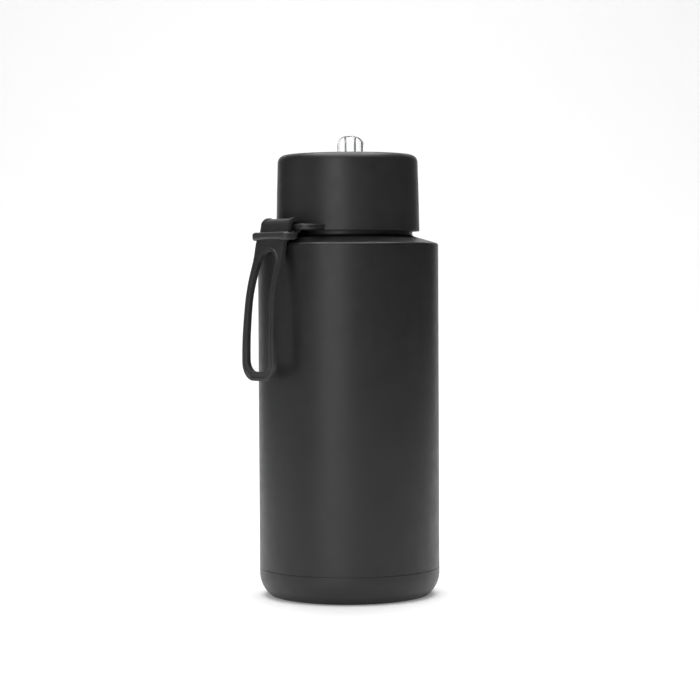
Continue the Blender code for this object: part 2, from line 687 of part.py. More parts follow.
def outer_face(route):
    """The strap's outer face seen from the side, half a thickness out from its middle."""
    points = []
    for before, here, after in zip(route, route[1:], route[2:]):
        along = Vector((after[0] - before[0], after[1] - before[1])).normalized()
        points.append([here[0] - along.y * STRAP_THICKNESS / 2, here[1] + along.x * STRAP_THICKNESS / 2])
    return points


def band(points):
    """Chamfered rectangular sections square to a row of (reach, height, half width, half thickness)."""
    sections = []
    for i, (x, z, wide, thick) in enumerate(points):
        before = points[max(i - 1, 0)]
        after = points[min(i + 1, len(points) - 1)]
        along = Vector((after[0] - before[0], after[1] - before[1])).normalized()
        out = Vector((-along.y, along.x))
        nip = 0.5 * thick
        shape = [(wide - nip, thick), (wide, thick - nip), (wide, nip - thick), (wide - nip, -thick)]
        shape += [(-a, b) for a, b in reversed(shape)]
        sections.append([(x + out.x * b, a, z + out.y * b) for a, b in shape])
    return sections


def build_strap(rubber, hinge):
    """One rubber band: tucked tongue, fold over the bar and the hanging loop with its window."""
    top = STRAP_TOP_WIDTH / 2
    thick = STRAP_THICKNESS / 2
    tongue = [(x, z, top - 0.4 * MM, half) for x, z, half in tongue_route()]
    fold = [(x, z, top, thick) for x, z in arc((0, 0), FOLD_RADIUS + thick, 168, 12, 9)]
    run = [(x, z, wide, thick) for x, z, wide in smooth(strap_route(), 3)]
    rounded = []
    for x, z, wide, half in run:
        into = STRAP_FOOT_ROUND - (z + STRAP_LENGTH)
        if into > 0:
            wide -= STRAP_FOOT_ROUND - math.sqrt(max(STRAP_FOOT_ROUND**2 - into**2, 0.0))
        rounded.append((x, z, wide, half))
    strap = loft("strap", band(tongue[::-1] + fold + rounded), False, rubber, hinge)
    cut(strap, build_window(hinge))


def build_window(hinge):
    """The finger window: narrow and round at its top, wider and round at its foot."""
    top = STRAP_TOP_WIDTH / 2 - STRAP_LIMB + 0.9 * MM
    foot = STRAP_FOOT_WIDTH / 2 - STRAP_LIMB
    top_z = -WINDOW_TOP_DROP - top
    low = -STRAP_LENGTH + WINDOW_FOOT
    corner = STRAP_FOOT_ROUND - STRAP_LIMB + 1.1 * MM
    head = arc((0, top_z), top, 0, 180, 10)
    side = [(foot - 1.1 * MM, (top_z + low) / 2 + 8 * MM), (foot, low + corner + 10 * MM)]
    base = side + arc((foot - corner, low + corner), corner, 0, -90, 5)
    outline = head + [(-x, z) for x, z in base] + base[::-1]
    near = FOLD_RADIUS + 1.0 * MM
    far = max(x for x, _, _ in strap_route()) + 5 * MM
    return prism("strap_window", outline, near, far, (2, 0, 1), None, hinge)


def build_keeper(plastic, hinge):
    """The ring round the fold's two layers, lower at its ends than at the middle of its front bar."""
    low = KEEPER_TOP - KEEPER_HEIGHT
    front = reach_at(outer_face(smooth(strap_route(), 3)), low - KEEPER_DROOP) + FIT / 2
    elbow = reach_at(tongue_route()[6:], low + KEEPER_BACK_HEIGHT)
    back = elbow - TONGUE_THICKNESS / 2 - 1.4 * FIT
    inner = STRAP_TOP_WIDTH / 2 + KEEPER_SLACK
    outer = inner + KEEPER_WALL
    within = rounded_rectangle(back, front, inner, 1.0 * MM)
    around = rounded_rectangle(back - KEEPER_BACK, front + KEEPER_FRONT, outer, 2.2 * MM)

    def level(points, top, foot):
        above, below = [], []
        for x, y in points:
            rear = x < back + 1.5 * MM and abs(y) < inner
            droop = KEEPER_DROOP * min(abs(y) / outer, 1.0) ** 2
            above.append((x, y, foot + KEEPER_BACK_HEIGHT if rear else top))
            below.append((x, y, foot if rear else foot - droop))
        return above, below

    outer_top, outer_foot = level(around, KEEPER_TOP, low)
    inner_top, inner_foot = level(within, KEEPER_TOP, low)
    loft("strap_keeper", [outer_top, outer_foot, inner_foot, inner_top], True, plastic, hinge)


def rounded_rectangle(low, high, half, corner):
    """A rounded rectangle in plan, with points along its long sides."""
    spread = [half * f for f in (0.55, 0.0, -0.55)]
    points = arc((high - corner, half - corner), corner, 90, 0, 3) + [(high, y) for y in spread]
    points += arc((high - corner, corner - half), corner, 0, -90, 3)
    points += arc((low + corner, corner - half), corner, -90, -180, 3) + [(low, -y) for y in spread]
    return points + arc((low + corner, half - corner), corner, 180, 90, 3)


def main():
    global parts, cutters
    clear_scene()
    parts = new_collection("insulated_water_bottle")
    cutters = new_collection("cutters")
    coated = finish("powder_coat", (0.022, 0.022, 0.024), 0.42)
    steel = finish("plain_steel", (0.6, 0.59, 0.57), 0.28, 1.0)
    plastic = finish("matte_plastic", (0.02, 0.02, 0.021), 0.5)
    rubber = finish("black_rubber", (0.025, 0.025, 0.027), 0.55)
    silicone = finish("clear_silicone", (0.75, 0.76, 0.76), 0.4, alpha=0.8)
    clear = finish("clear_plastic", (0.9, 0.93, 0.94), 0.08, alpha=0.35)
    glass = finish("solder_glass", (0.3, 0.26, 0.22), 0.3)
    lid = frame("lid_frame", (0.0, 0.0, 0.0), -LID_FRAME_TURN)
    port = Matrix.Rotation(-LID_FRAME_TURN, 3, "Z") @ Vector((0.0, SPOUT_BACK, PIVOT_Z))
    spout_hinge = frame("spout_hinge", port, -LID_FRAME_TURN)
    strap_hinge = frame("strap_hinge", (-BAR_RADIUS, 0.0, HINGE_Z), math.pi)
    build_outer_shell(coated)
    pad_radius = build_outer_base(coated)
    build_base_pad(pad_radius, rubber)
    build_middle_base(steel, glass, steel)
    build_liner(steel)
    build_mouth_gasket(silicone)
    build_lid_shell(plastic)
    build_lid_core(plastic, lid)
    build_lid_tray(plastic, lid)
    build_port_pieces(silicone, clear, lid)
    build_spout(clear, steel, spout_hinge, lid)
    build_strap(rubber, strap_hinge)
    build_keeper(plastic, strap_hinge)


main()
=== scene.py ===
"""The looks of an insulated steel water bottle with a screw lid, fold-down spout and carry strap.

Sizes are in millimetres times MM. The origin is on the bottle's axis where its base rests, +Z is up
and -X points to the strap. Lid pieces are modelled in the lid's own frame, whose -Y is the spout's
front, and strap pieces about their hinge, with +X pointing outwards. Both are then set in place.
"""

from __future__ import annotations

import logging
import math
from collections.abc import Callable, Sequence
from dataclasses import dataclass
from enum import Enum

import bmesh
import bpy
from mathutils import Matrix, Vector

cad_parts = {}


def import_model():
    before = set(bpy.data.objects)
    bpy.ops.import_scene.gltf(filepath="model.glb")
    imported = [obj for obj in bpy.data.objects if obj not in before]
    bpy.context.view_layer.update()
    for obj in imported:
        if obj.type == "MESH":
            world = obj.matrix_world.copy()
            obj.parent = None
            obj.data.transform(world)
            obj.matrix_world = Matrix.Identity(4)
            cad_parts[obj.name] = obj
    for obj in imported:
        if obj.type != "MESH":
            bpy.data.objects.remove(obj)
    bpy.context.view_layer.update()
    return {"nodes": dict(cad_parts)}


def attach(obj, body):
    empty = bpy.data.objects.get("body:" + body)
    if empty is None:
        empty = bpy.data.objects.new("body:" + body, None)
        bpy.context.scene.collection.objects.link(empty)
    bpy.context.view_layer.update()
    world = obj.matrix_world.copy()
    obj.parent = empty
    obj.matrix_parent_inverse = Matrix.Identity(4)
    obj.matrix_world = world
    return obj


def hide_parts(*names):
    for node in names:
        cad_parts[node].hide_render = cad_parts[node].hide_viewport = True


log = logging.getLogger("bottle")

MM = 0.001
LID_TURN = math.radians(-50.0)
FINE = 192
MEDIUM = 96
SMALL = 48

Corner = tuple[float, float, float]
Point = tuple[float, float, float]
Colour = tuple[float, float, float]


class Body(Enum):
    """The bodies that pieces ride on."""

    BOTTLE = "bottle"
    GASKET = "gasket"
    LID = "lid"
    SPOUT = "spout"
    STRAP = "strap"


class Side(Enum):
    """The two sides of the spout, as signs along the lid's X."""

    LEFT = -1
    RIGHT = 1


# ---- Modelling in edit mode ----


def deselect() -> None:
    """Leaves edit mode and deselects every object."""
    if bpy.context.object is not None and bpy.context.object.mode != "OBJECT":
        bpy.ops.object.mode_set(mode="OBJECT")
    bpy.ops.object.select_all(action="DESELECT")


def begin(name: str) -> bpy.types.Object:
    """Names the primitive that was just added, applies its place and opens it in edit mode.

    Args:
        name: The piece's name.

    Returns:
        The piece, with everything selected.
    """
    piece = bpy.context.object
    piece.name = piece.data.name = name
    bpy.ops.object.transform_apply(location=True, rotation=True, scale=True)
    bpy.ops.object.mode_set(mode="EDIT")
    bpy.ops.mesh.select_mode(type="VERT")
    bpy.ops.mesh.select_all(action="SELECT")
    return piece


def done(piece: bpy.types.Object, angle: float = 35.0) -> bpy.types.Object:
    """Closes a piece: merges doubles, turns its faces outwards and smooths it.

    Args:
        piece: The piece in edit mode.
        angle: Edges sharper than this many degrees stay sharp.

    Returns:
        The same piece, in object mode.
    """
    bpy.ops.mesh.select_all(action="SELECT")
    bpy.ops.mesh.remove_doubles(threshold=0.002 * MM)
    bpy.ops.mesh.normals_make_consistent(inside=False)
    bpy.ops.object.mode_set(mode="OBJECT")
    bpy.ops.object.shade_smooth_by_angle(angle=math.radians(angle))
    return piece


def pick(piece: bpy.types.Object, test: Callable[[Vector], bool], kind: str = "VERT") -> None:
    """Selects the vertices, edges or faces whose every corner passes a test of its place.

    Args:
        piece: The piece in edit mode.
        test: Says whether a corner's place counts.
        kind: VERT, EDGE or FACE.
    """
    bpy.ops.mesh.select_mode(type=kind)
    bpy.ops.mesh.select_all(action="DESELECT")
    work = bmesh.from_edit_mesh(piece.data)
    elements = {"VERT": work.verts, "EDGE": work.edges, "FACE": work.faces}[kind]
    for element in elements:
        corners = [element] if kind == "VERT" else element.verts
        element.select = all(test(corner.co) for corner in corners)
    work.select_flush_mode()
    bmesh.update_edit_mesh(piece.data)


def draw(name: str, points: Sequence[Point], closed: bool = True) -> bpy.types.Object:
    """Draws a line of edges point by point, from a plane gathered into one vertex.

    Args:
        name: The piece's name.
        points: Where the line goes.
        closed: Whether its end joins its start.

    Returns:
        The piece in edit mode, with the whole line selected.
    """
    deselect()
    bpy.ops.mesh.primitive_plane_add(size=MM, location=points[0])
    piece = begin(name)
    bpy.ops.mesh.merge(type="CENTER")
    for before, after in zip(points, points[1:]):
        step = [b - a for a, b in zip(before, after)]
        bpy.ops.mesh.extrude_vertices_move(TRANSFORM_OT_translate={"value": step})
    if closed:
        work = bmesh.from_edit_mesh(piece.data)
        for vertex in work.verts:
            vertex.select = len(vertex.link_edges) < 2
        bmesh.update_edit_mesh(piece.data)
        bpy.ops.mesh.edge_face_add()
    bpy.ops.mesh.select_all(action="SELECT")
    return piece


def fillet(before: Vector, corner: Vector, after: Vector, radius: float) -> list[Vector]:
    """Points of the arc that rounds a corner.

    Args:
        before: The corner ahead of it.
        corner: The corner to round.
        after: The corner behind it.
        radius: The arc's radius.

    Returns:
        The arc's points, from the first line to the second.
    """
    into, out = (before - corner).normalized(), (after - corner).normalized()
    half = into.angle(out) / 2
    trim = radius / math.tan(half)
    centre = corner + (into + out).normalized() * radius / math.sin(half)
    start, end = corner + into * trim - centre, corner + out * trim - centre
    sweep = start.angle_signed(end)
    steps = max(3, math.ceil(abs(math.degrees(sweep)) / 7.5))
    turns = [-sweep * i / steps for i in range(steps + 1)]
    return [centre + Matrix.Rotation(turn, 2) @ start for turn in turns]


def rounded(corners: Sequence[Corner], closed: bool = True) -> list[tuple[float, float]]:
    """An outline with its corners rounded and a support point at each end of its long lines.

    Args:
        corners: (across, up, radius) of each corner, where radius 0 stays sharp.
        closed: Whether the last corner joins the first.

    Returns:
        The outline's points.
    """
    places = [Vector(corner[:2]) for corner in corners]
    count = len(corners)
    runs = []
    for i, (_, _, radius) in enumerate(corners):
        end = not closed and i in (0, count - 1)
        if radius <= 0.0 or end:
            runs.append([places[i]])
        else:
            runs.append(fillet(places[i - 1], places[i], places[(i + 1) % count], radius))
    guard = 0.35 * MM
    points = []
    for i, run in enumerate(runs):
        points += run
        if i == count - 1 and not closed:
            break
        follow = runs[(i + 1) % count][0]
        gap = follow - run[-1]
        if gap.length > 4 * guard:
            points += [run[-1] + gap.normalized() * guard, follow - gap.normalized() * guard]
    return [(point.x, point.y) for point in points]


def turned(name: str, corners: Sequence[Corner], steps: int = FINE, pole: bool = False) -> bpy.types.Object:
    """Spins a rounded profile about the Z axis.

    Args:
        name: The piece's name.
        corners: (radius, height, rounding) of each corner of the profile.
        steps: How many sides the turn has.
        pole: Whether the profile starts and ends on the axis.

    Returns:
        The closed piece, in object mode.
    """
    profile = rounded(corners, closed=not pole)
    piece = draw(name, [(r, 0.0, z) for r, z in profile], closed=not pole)
    bpy.ops.mesh.spin(steps=steps, angle=2 * math.pi, center=(0, 0, 0), axis=(0, 0, 1))
    return done(piece)


def block(name: str, low: Point, high: Point) -> bpy.types.Object:
    """A box between two corners, in edit mode and ready to be shaped.

    Args:
        name: The piece's name.
        low: Its lowest corner.
        high: Its highest corner.

    Returns:
        The block in edit mode, with everything selected.
    """
    deselect()
    size = [b - a for a, b in zip(low, high)]
    centre = [(a + b) / 2 for a, b in zip(low, high)]
    bpy.ops.mesh.primitive_cube_add(size=1.0, location=centre, scale=size)
    return begin(name)


def drum(
    name: str, radius: float, centre: Point, depth: float, across: bool = False, sides: int = 64
) -> bpy.types.Object:
    """A cylinder in edit mode and ready to be shaped.

    Args:
        name: The piece's name.
        radius: Its radius.
        centre: Its middle.
        depth: Its length.
        across: Whether it lies along X and not Z.
        sides: How many sides it has.

    Returns:
        The piece in edit mode.
    """
    deselect()
    turn = (0.0, math.pi / 2, 0.0) if across else (0.0, 0.0, 0.0)
    bpy.ops.mesh.primitive_cylinder_add(
        vertices=sides, radius=radius, depth=depth, location=centre, rotation=turn
    )
    return begin(name)


def bevel(width: float, segments: int, corners: bool = False, clamp: bool = True) -> None:
    """Rounds what is selected.

    Args:
        width: The rounding's width.
        segments: How many faces go round it.
        corners: Whether vertices are rounded and not edges.
        clamp: Whether short edges hold the rounding back.
    """
    affect = "VERTICES" if corners else "EDGES"
    bpy.ops.mesh.bevel(offset=width, segments=segments, affect=affect, clamp_overlap=clamp)


def soften(
    piece: bpy.types.Object,
    width: float,
    segments: int = 3,
    sharper: float = 50.0,
    where: Callable[[Vector], bool] | None = None,
    clamp: bool = True,
) -> None:
    """Rounds every edge that is sharper than an angle.

    Args:
        piece: The piece in edit mode.
        width: The rounding's width.
        segments: How many faces go round it.
        sharper: The angle in degrees.
        where: Keeps to the edges whose both ends pass this test of their place.
        clamp: Whether short edges hold the rounding back.
    """
    bpy.ops.mesh.select_all(action="SELECT")
    bpy.ops.mesh.normals_make_consistent(inside=False)
    bpy.ops.mesh.select_mode(type="EDGE")
    bpy.ops.mesh.select_all(action="DESELECT")
    bpy.ops.mesh.edges_select_sharp(sharpness=math.radians(sharper))
    if where is not None:
        work = bmesh.from_edit_mesh(piece.data)
        chosen = [edge for edge in work.edges if edge.select and all(where(v.co) for v in edge.verts)]
        bpy.ops.mesh.select_all(action="DESELECT")
        for edge in chosen:
            edge.select = True
        work.select_flush_mode()
        bmesh.update_edit_mesh(piece.data)
    bevel(width, segments, clamp=clamp)


def combine(piece: bpy.types.Object, other: bpy.types.Object, operation: str) -> bpy.types.Object:
    """Applies a Boolean of one closed piece with another, which it uses up.

    Args:
        piece: The piece that stays.
        other: The piece that is added or taken away.
        operation: UNION or DIFFERENCE.

    Returns:
        The piece that stays.
    """
    deselect()
    bpy.context.view_layer.objects.active = piece
    piece.select_set(True)
    modifier = piece.modifiers.new(operation.title(), "BOOLEAN")
    modifier.operation = operation
    modifier.solver = "EXACT"
    modifier.object = other
    bpy.ops.object.modifier_apply(modifier=modifier.name)
    bpy.data.objects.remove(other)
    return piece


def gather(piece: bpy.types.Object, *others: bpy.types.Object) -> bpy.types.Object:
    """Joins pieces in one object.

    Args:
        piece: The piece that stays.
        others: The pieces that it takes up.

    Returns:
        The piece that stays.
    """
    deselect()
    for other in others:
        other.select_set(True)
    piece.select_set(True)
    bpy.context.view_layer.objects.active = piece
    bpy.ops.object.join()
    return piece


def settle(piece: bpy.types.Object, place: Matrix) -> bpy.types.Object:
    """Moves a piece from its own frame to its place and applies that to its mesh.

    Args:
        piece: The piece in its own frame.
        place: Where that frame lies.

    Returns:
        The same piece, at the origin and unrotated.
    """
    deselect()
    piece.matrix_world = place
    piece.select_set(True)
    bpy.context.view_layer.objects.active = piece
    bpy.ops.object.transform_apply(location=True, rotation=True, scale=True)
    return piece


# ---- Finishes ----


class Wiring:
    """A material's nodes while they are being joined."""

    def __init__(self, name: str) -> None:
        """Starts a material with its shader and its Object coordinates.

        Args:
            name: The material's name.
        """
        self.material = bpy.data.materials.new(name)
        self.material.use_nodes = True
        self.tree = self.material.node_tree
        self.shader = self.tree.nodes["Principled BSDF"]
        self.place = self.tree.nodes.new("ShaderNodeTexCoord").outputs["Object"]

    def set(self, **values: float | Colour) -> None:
        """Sets the shader's own sockets, with spaces in their names written as underscores."""
        for name, value in values.items():
            socket = self.shader.inputs[name.replace("_", " ")]
            socket.default_value = (*value, 1.0) if isinstance(value, tuple) else value

    def link(self, source: bpy.types.NodeSocket, name: str) -> None:
        """Joins a socket to one of the shader's."""
        self.tree.links.new(source, self.shader.inputs[name])

    def noise(
        self, size: float, detail: float = 3.0, stretch: Point = (1.0, 1.0, 1.0)
    ) -> bpy.types.NodeSocket:
        """Noise of one grain size.

        Args:
            size: The grain's size in metres.
            detail: How many finer octaves it has.
            stretch: How much longer the grain is along each axis.

        Returns:
            The noise's value, from 0 to 1.
        """
        mapping = self.tree.nodes.new("ShaderNodeMapping")
        mapping.inputs["Scale"].default_value = [1.0 / s for s in stretch]
        self.tree.links.new(self.place, mapping.inputs["Vector"])
        noise = self.tree.nodes.new("ShaderNodeTexNoise")
        noise.inputs["Scale"].default_value = 1.0 / size
        noise.inputs["Detail"].default_value = detail
        self.tree.links.new(mapping.outputs["Vector"], noise.inputs["Vector"])
        return noise.outputs["Fac"]

    def speckle(self, size: float) -> bpy.types.NodeSocket:
        """Distance within cells of one size, for grain that is pitted or beaded."""
        cells = self.tree.nodes.new("ShaderNodeTexVoronoi")
        cells.inputs["Scale"].default_value = 1.0 / size
        self.tree.links.new(self.place, cells.inputs["Vector"])
        return cells.outputs["Distance"]

    def spread(self, source: bpy.types.NodeSocket, low: float, high: float) -> bpy.types.NodeSocket:
        """Spreads noise, most of which lies between 0.3 and 0.7, between two values.

        Args:
            source: A pattern between 0 and 1.
            low: The value where the pattern is low.
            high: The value where it is high.

        Returns:
            The spread values.
        """
        spread = self.tree.nodes.new("ShaderNodeMapRange")
        spread.inputs["From Min"].default_value = 0.3
        spread.inputs["From Max"].default_value = 0.7
        spread.inputs["To Min"].default_value = low
        spread.inputs["To Max"].default_value = high
        self.tree.links.new(source, spread.inputs["Value"])
        return spread.outputs["Result"]

    def shades(self, source: bpy.types.NodeSocket, dark: Colour, light: Colour) -> bpy.types.NodeSocket:
        """Turns noise into a mix of two colours.

        Args:
            source: A pattern between 0 and 1.
            dark: The colour where the pattern is low.
            light: The colour where it is high.

        Returns:
            The mixed colour.
        """
        mix = self.tree.nodes.new("ShaderNodeMix")
        mix.data_type = "RGBA"
        mix.inputs["A"].default_value = (*dark, 1.0)
        mix.inputs["B"].default_value = (*light, 1.0)
        self.tree.links.new(self.spread(source, 0.0, 1.0), mix.inputs["Factor"])
        return mix.outputs["Result"]

    def bump(
        self, height: bpy.types.NodeSocket, depth: float, under: bpy.types.NodeSocket | None = None
    ) -> bpy.types.NodeSocket:
        """A bump of a height in metres.

        Args:
            height: The pattern.
            depth: How deep it is.
            under: A bump that it lies on.

        Returns:
            The normal that it gives.
        """
        bump = self.tree.nodes.new("ShaderNodeBump")
        bump.inputs["Distance"].default_value = depth
        self.tree.links.new(height, bump.inputs["Height"])
        if under is not None:
            self.tree.links.new(under, bump.inputs["Normal"])
        return bump.outputs["Normal"]


@dataclass(frozen=True)
class Finish:
    """A finish: the slot it belongs to, its two shades and how rough it is."""

    name: str
    slot: str
    dark: Colour
    light: Colour
    roughness: float
    spread: float = 0.04
    patch: float = 18 * MM

    def material(self) -> bpy.types.Material:
        """The finish's material, which is made once."""
        found = bpy.data.materials.get(self.name)
        return found or self.wire().material

    def wire(self) -> Wiring:
        """Wires the shades and the roughness that every finish has.

        Returns:
            The material's wiring.
        """
        wiring = Wiring(self.name)
        cloud = wiring.noise(self.patch)
        wiring.link(wiring.shades(cloud, self.dark, self.light), "Base Color")
        low, high = self.roughness - self.spread, self.roughness + self.spread
        wiring.link(wiring.spread(wiring.noise(self.patch / 3), low, high), "Roughness")
        return wiring

    def dress(self, piece: bpy.types.Object) -> None:
        """Puts the finish on a piece, in every slot that it has.

        Args:
            piece: The piece that gets the finish.
        """
        if not piece.data.materials:
            piece.data.materials.append(self.material())
        for slot in piece.material_slots:
            slot.material = self.material()


@dataclass(frozen=True)
class PowderCoat(Finish):
    """Baked powder paint: a fine orange peel with a finer sandy grain on it."""

    peel: float = 0.9 * MM
    grain: float = 0.22 * MM

    def wire(self) -> Wiring:
        """Adds the paint's two grains.

        Returns:
            The material's wiring.
        """
        wiring = super().wire()
        peel = wiring.bump(wiring.noise(self.peel, 2.0), 0.012 * MM)
        wiring.link(wiring.bump(wiring.noise(self.grain, 2.0), 0.008 * MM, peel), "Normal")
        wiring.set(Specular_IOR_Level=0.5, IOR=1.5)
        return wiring


@dataclass(frozen=True)
class MouldedPlastic(Finish):
    """Moulded plastic with the fine pitted texture of a spark-eroded mould."""

    pit: float = 0.16 * MM

    def wire(self) -> Wiring:
        """Adds the mould's texture and the slow waviness of a moulding.

        Returns:
            The material's wiring.
        """
        wiring = super().wire()
        wave = wiring.bump(wiring.noise(9 * MM, 1.0), 0.01 * MM)
        wiring.link(wiring.bump(wiring.speckle(self.pit), 0.006 * MM, wave), "Normal")
        wiring.set(Specular_IOR_Level=0.5, IOR=1.49)
        return wiring


@dataclass(frozen=True)
class SoftRubber(Finish):
    """Moulded rubber: a soft satin face with a faint bloom."""

    grain: float = 0.3 * MM

    def wire(self) -> Wiring:
        """Adds the rubber's grain, its slow unevenness and its bloom.

        Returns:
            The material's wiring.
        """
        wiring = super().wire()
        wave = wiring.bump(wiring.noise(5 * MM, 2.0), 0.02 * MM)
        wiring.link(wiring.bump(wiring.noise(self.grain, 3.0), 0.008 * MM, wave), "Normal")
        wiring.set(Sheen_Weight=0.06, Sheen_Roughness=0.45, IOR=1.52)
        return wiring


@dataclass(frozen=True)
class SpunSteel(Finish):
    """Bare stainless steel with the fine rings that spinning and polishing leave."""

    ring: float = 0.12 * MM

    def wire(self) -> Wiring:
        """Adds the rings, which run round the bottle's axis.

        Returns:
            The material's wiring.
        """
        wiring = super().wire()
        rings = wiring.noise(self.ring, 2.0, (60.0, 60.0, 1.0))
        wiring.link(wiring.bump(rings, 0.004 * MM), "Normal")
        wiring.set(Metallic=1.0)
        return wiring


@dataclass(frozen=True)
class Silicone(Finish):
    """Soft silicone that lets some light through."""

    def wire(self) -> Wiring:
        """Adds the cloudy depth and a faint moulded grain."""
        wiring = super().wire()
        wiring.link(wiring.bump(wiring.noise(0.4 * MM, 2.0), 0.006 * MM), "Normal")
        wiring.set(Transmission_Weight=0.35, IOR=1.41, Subsurface_Weight=0.25, Subsurface_Scale=1.5 * MM)
        return wiring


@dataclass(frozen=True)
class ClearPlastic(Finish):
    """Clear moulded plastic, faintly grey and almost smooth."""

    def wire(self) -> Wiring:
        """Adds the clear depth and the slight waviness of its faces."""
        wiring = super().wire()
        wiring.link(wiring.bump(wiring.noise(4 * MM, 1.0), 0.01 * MM), "Normal")
        wiring.set(Transmission_Weight=1.0, IOR=1.54)
        return wiring


@dataclass(frozen=True)
class SolderGlass(Finish):
    """A brown glass bead with fine bubbles."""

    def wire(self) -> Wiring:
        """Adds the bubbles and the glass's depth."""
        wiring = super().wire()
        wiring.link(wiring.bump(wiring.speckle(0.5 * MM), 0.02 * MM), "Normal")
        wiring.set(Transmission_Weight=0.3, IOR=1.6)
        return wiring


COAT = PowderCoat("black_powder_coat", "powder_coat", (0.0075, 0.0075, 0.008), (0.01, 0.01, 0.0105), 0.41)
LID_BLACK = MouldedPlastic("black_lid_plastic", "lid_plastic", (0.013, 0.013, 0.0135), (0.017, 0.017, 0.018), 0.42)
STRAP_RUBBER = SoftRubber("black_strap_rubber", "rubber", (0.014, 0.014, 0.015), (0.02, 0.02, 0.021), 0.46)
PAD_RUBBER = SoftRubber("black_pad_rubber", "rubber", (0.012, 0.012, 0.012), (0.018, 0.018, 0.018), 0.6)
STEEL = SpunSteel("spun_steel", "plain_steel", (0.56, 0.55, 0.53), (0.62, 0.61, 0.59), 0.24)
SILICONE = Silicone("milky_silicone", "silicone", (0.72, 0.73, 0.73), (0.8, 0.81, 0.81), 0.42)
CLEAR = ClearPlastic("clear_spout_plastic", "clear_plastic", (0.93, 0.94, 0.94), (0.96, 0.97, 0.97), 0.05, 0.02)
BEAD_GLASS = SolderGlass("brown_solder_glass", "solder_glass", (0.2, 0.12, 0.07), (0.3, 0.2, 0.12), 0.18)


def hand_over(piece: bpy.types.Object, body: Body, finish: Finish, *nodes: str) -> None:
    """Finishes a new piece: its material, the body it rides on and the CAD nodes that it stands for.

    Args:
        piece: The piece, in its place.
        body: The body it rides on.
        finish: Its finish.
        nodes: The CAD nodes that it replaces.
    """
    finish.dress(piece)
    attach(piece, body.value)
    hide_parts(*nodes)
    log.info("%s: %d faces, %s", piece.name, len(piece.data.polygons), finish.name)


def carry_over(nodes: dict[str, bpy.types.Object], finish: Finish, *names: str) -> None:
    """Gives CAD nodes that stay as they are a better finish.

    Args:
        nodes: The frame's nodes.
        finish: Their finish.
        names: Which nodes.
    """
    for name in names:
        finish.dress(nodes[name])
        log.info("%s: carried over, %s", name, finish.name)


# ---- Bottle ----


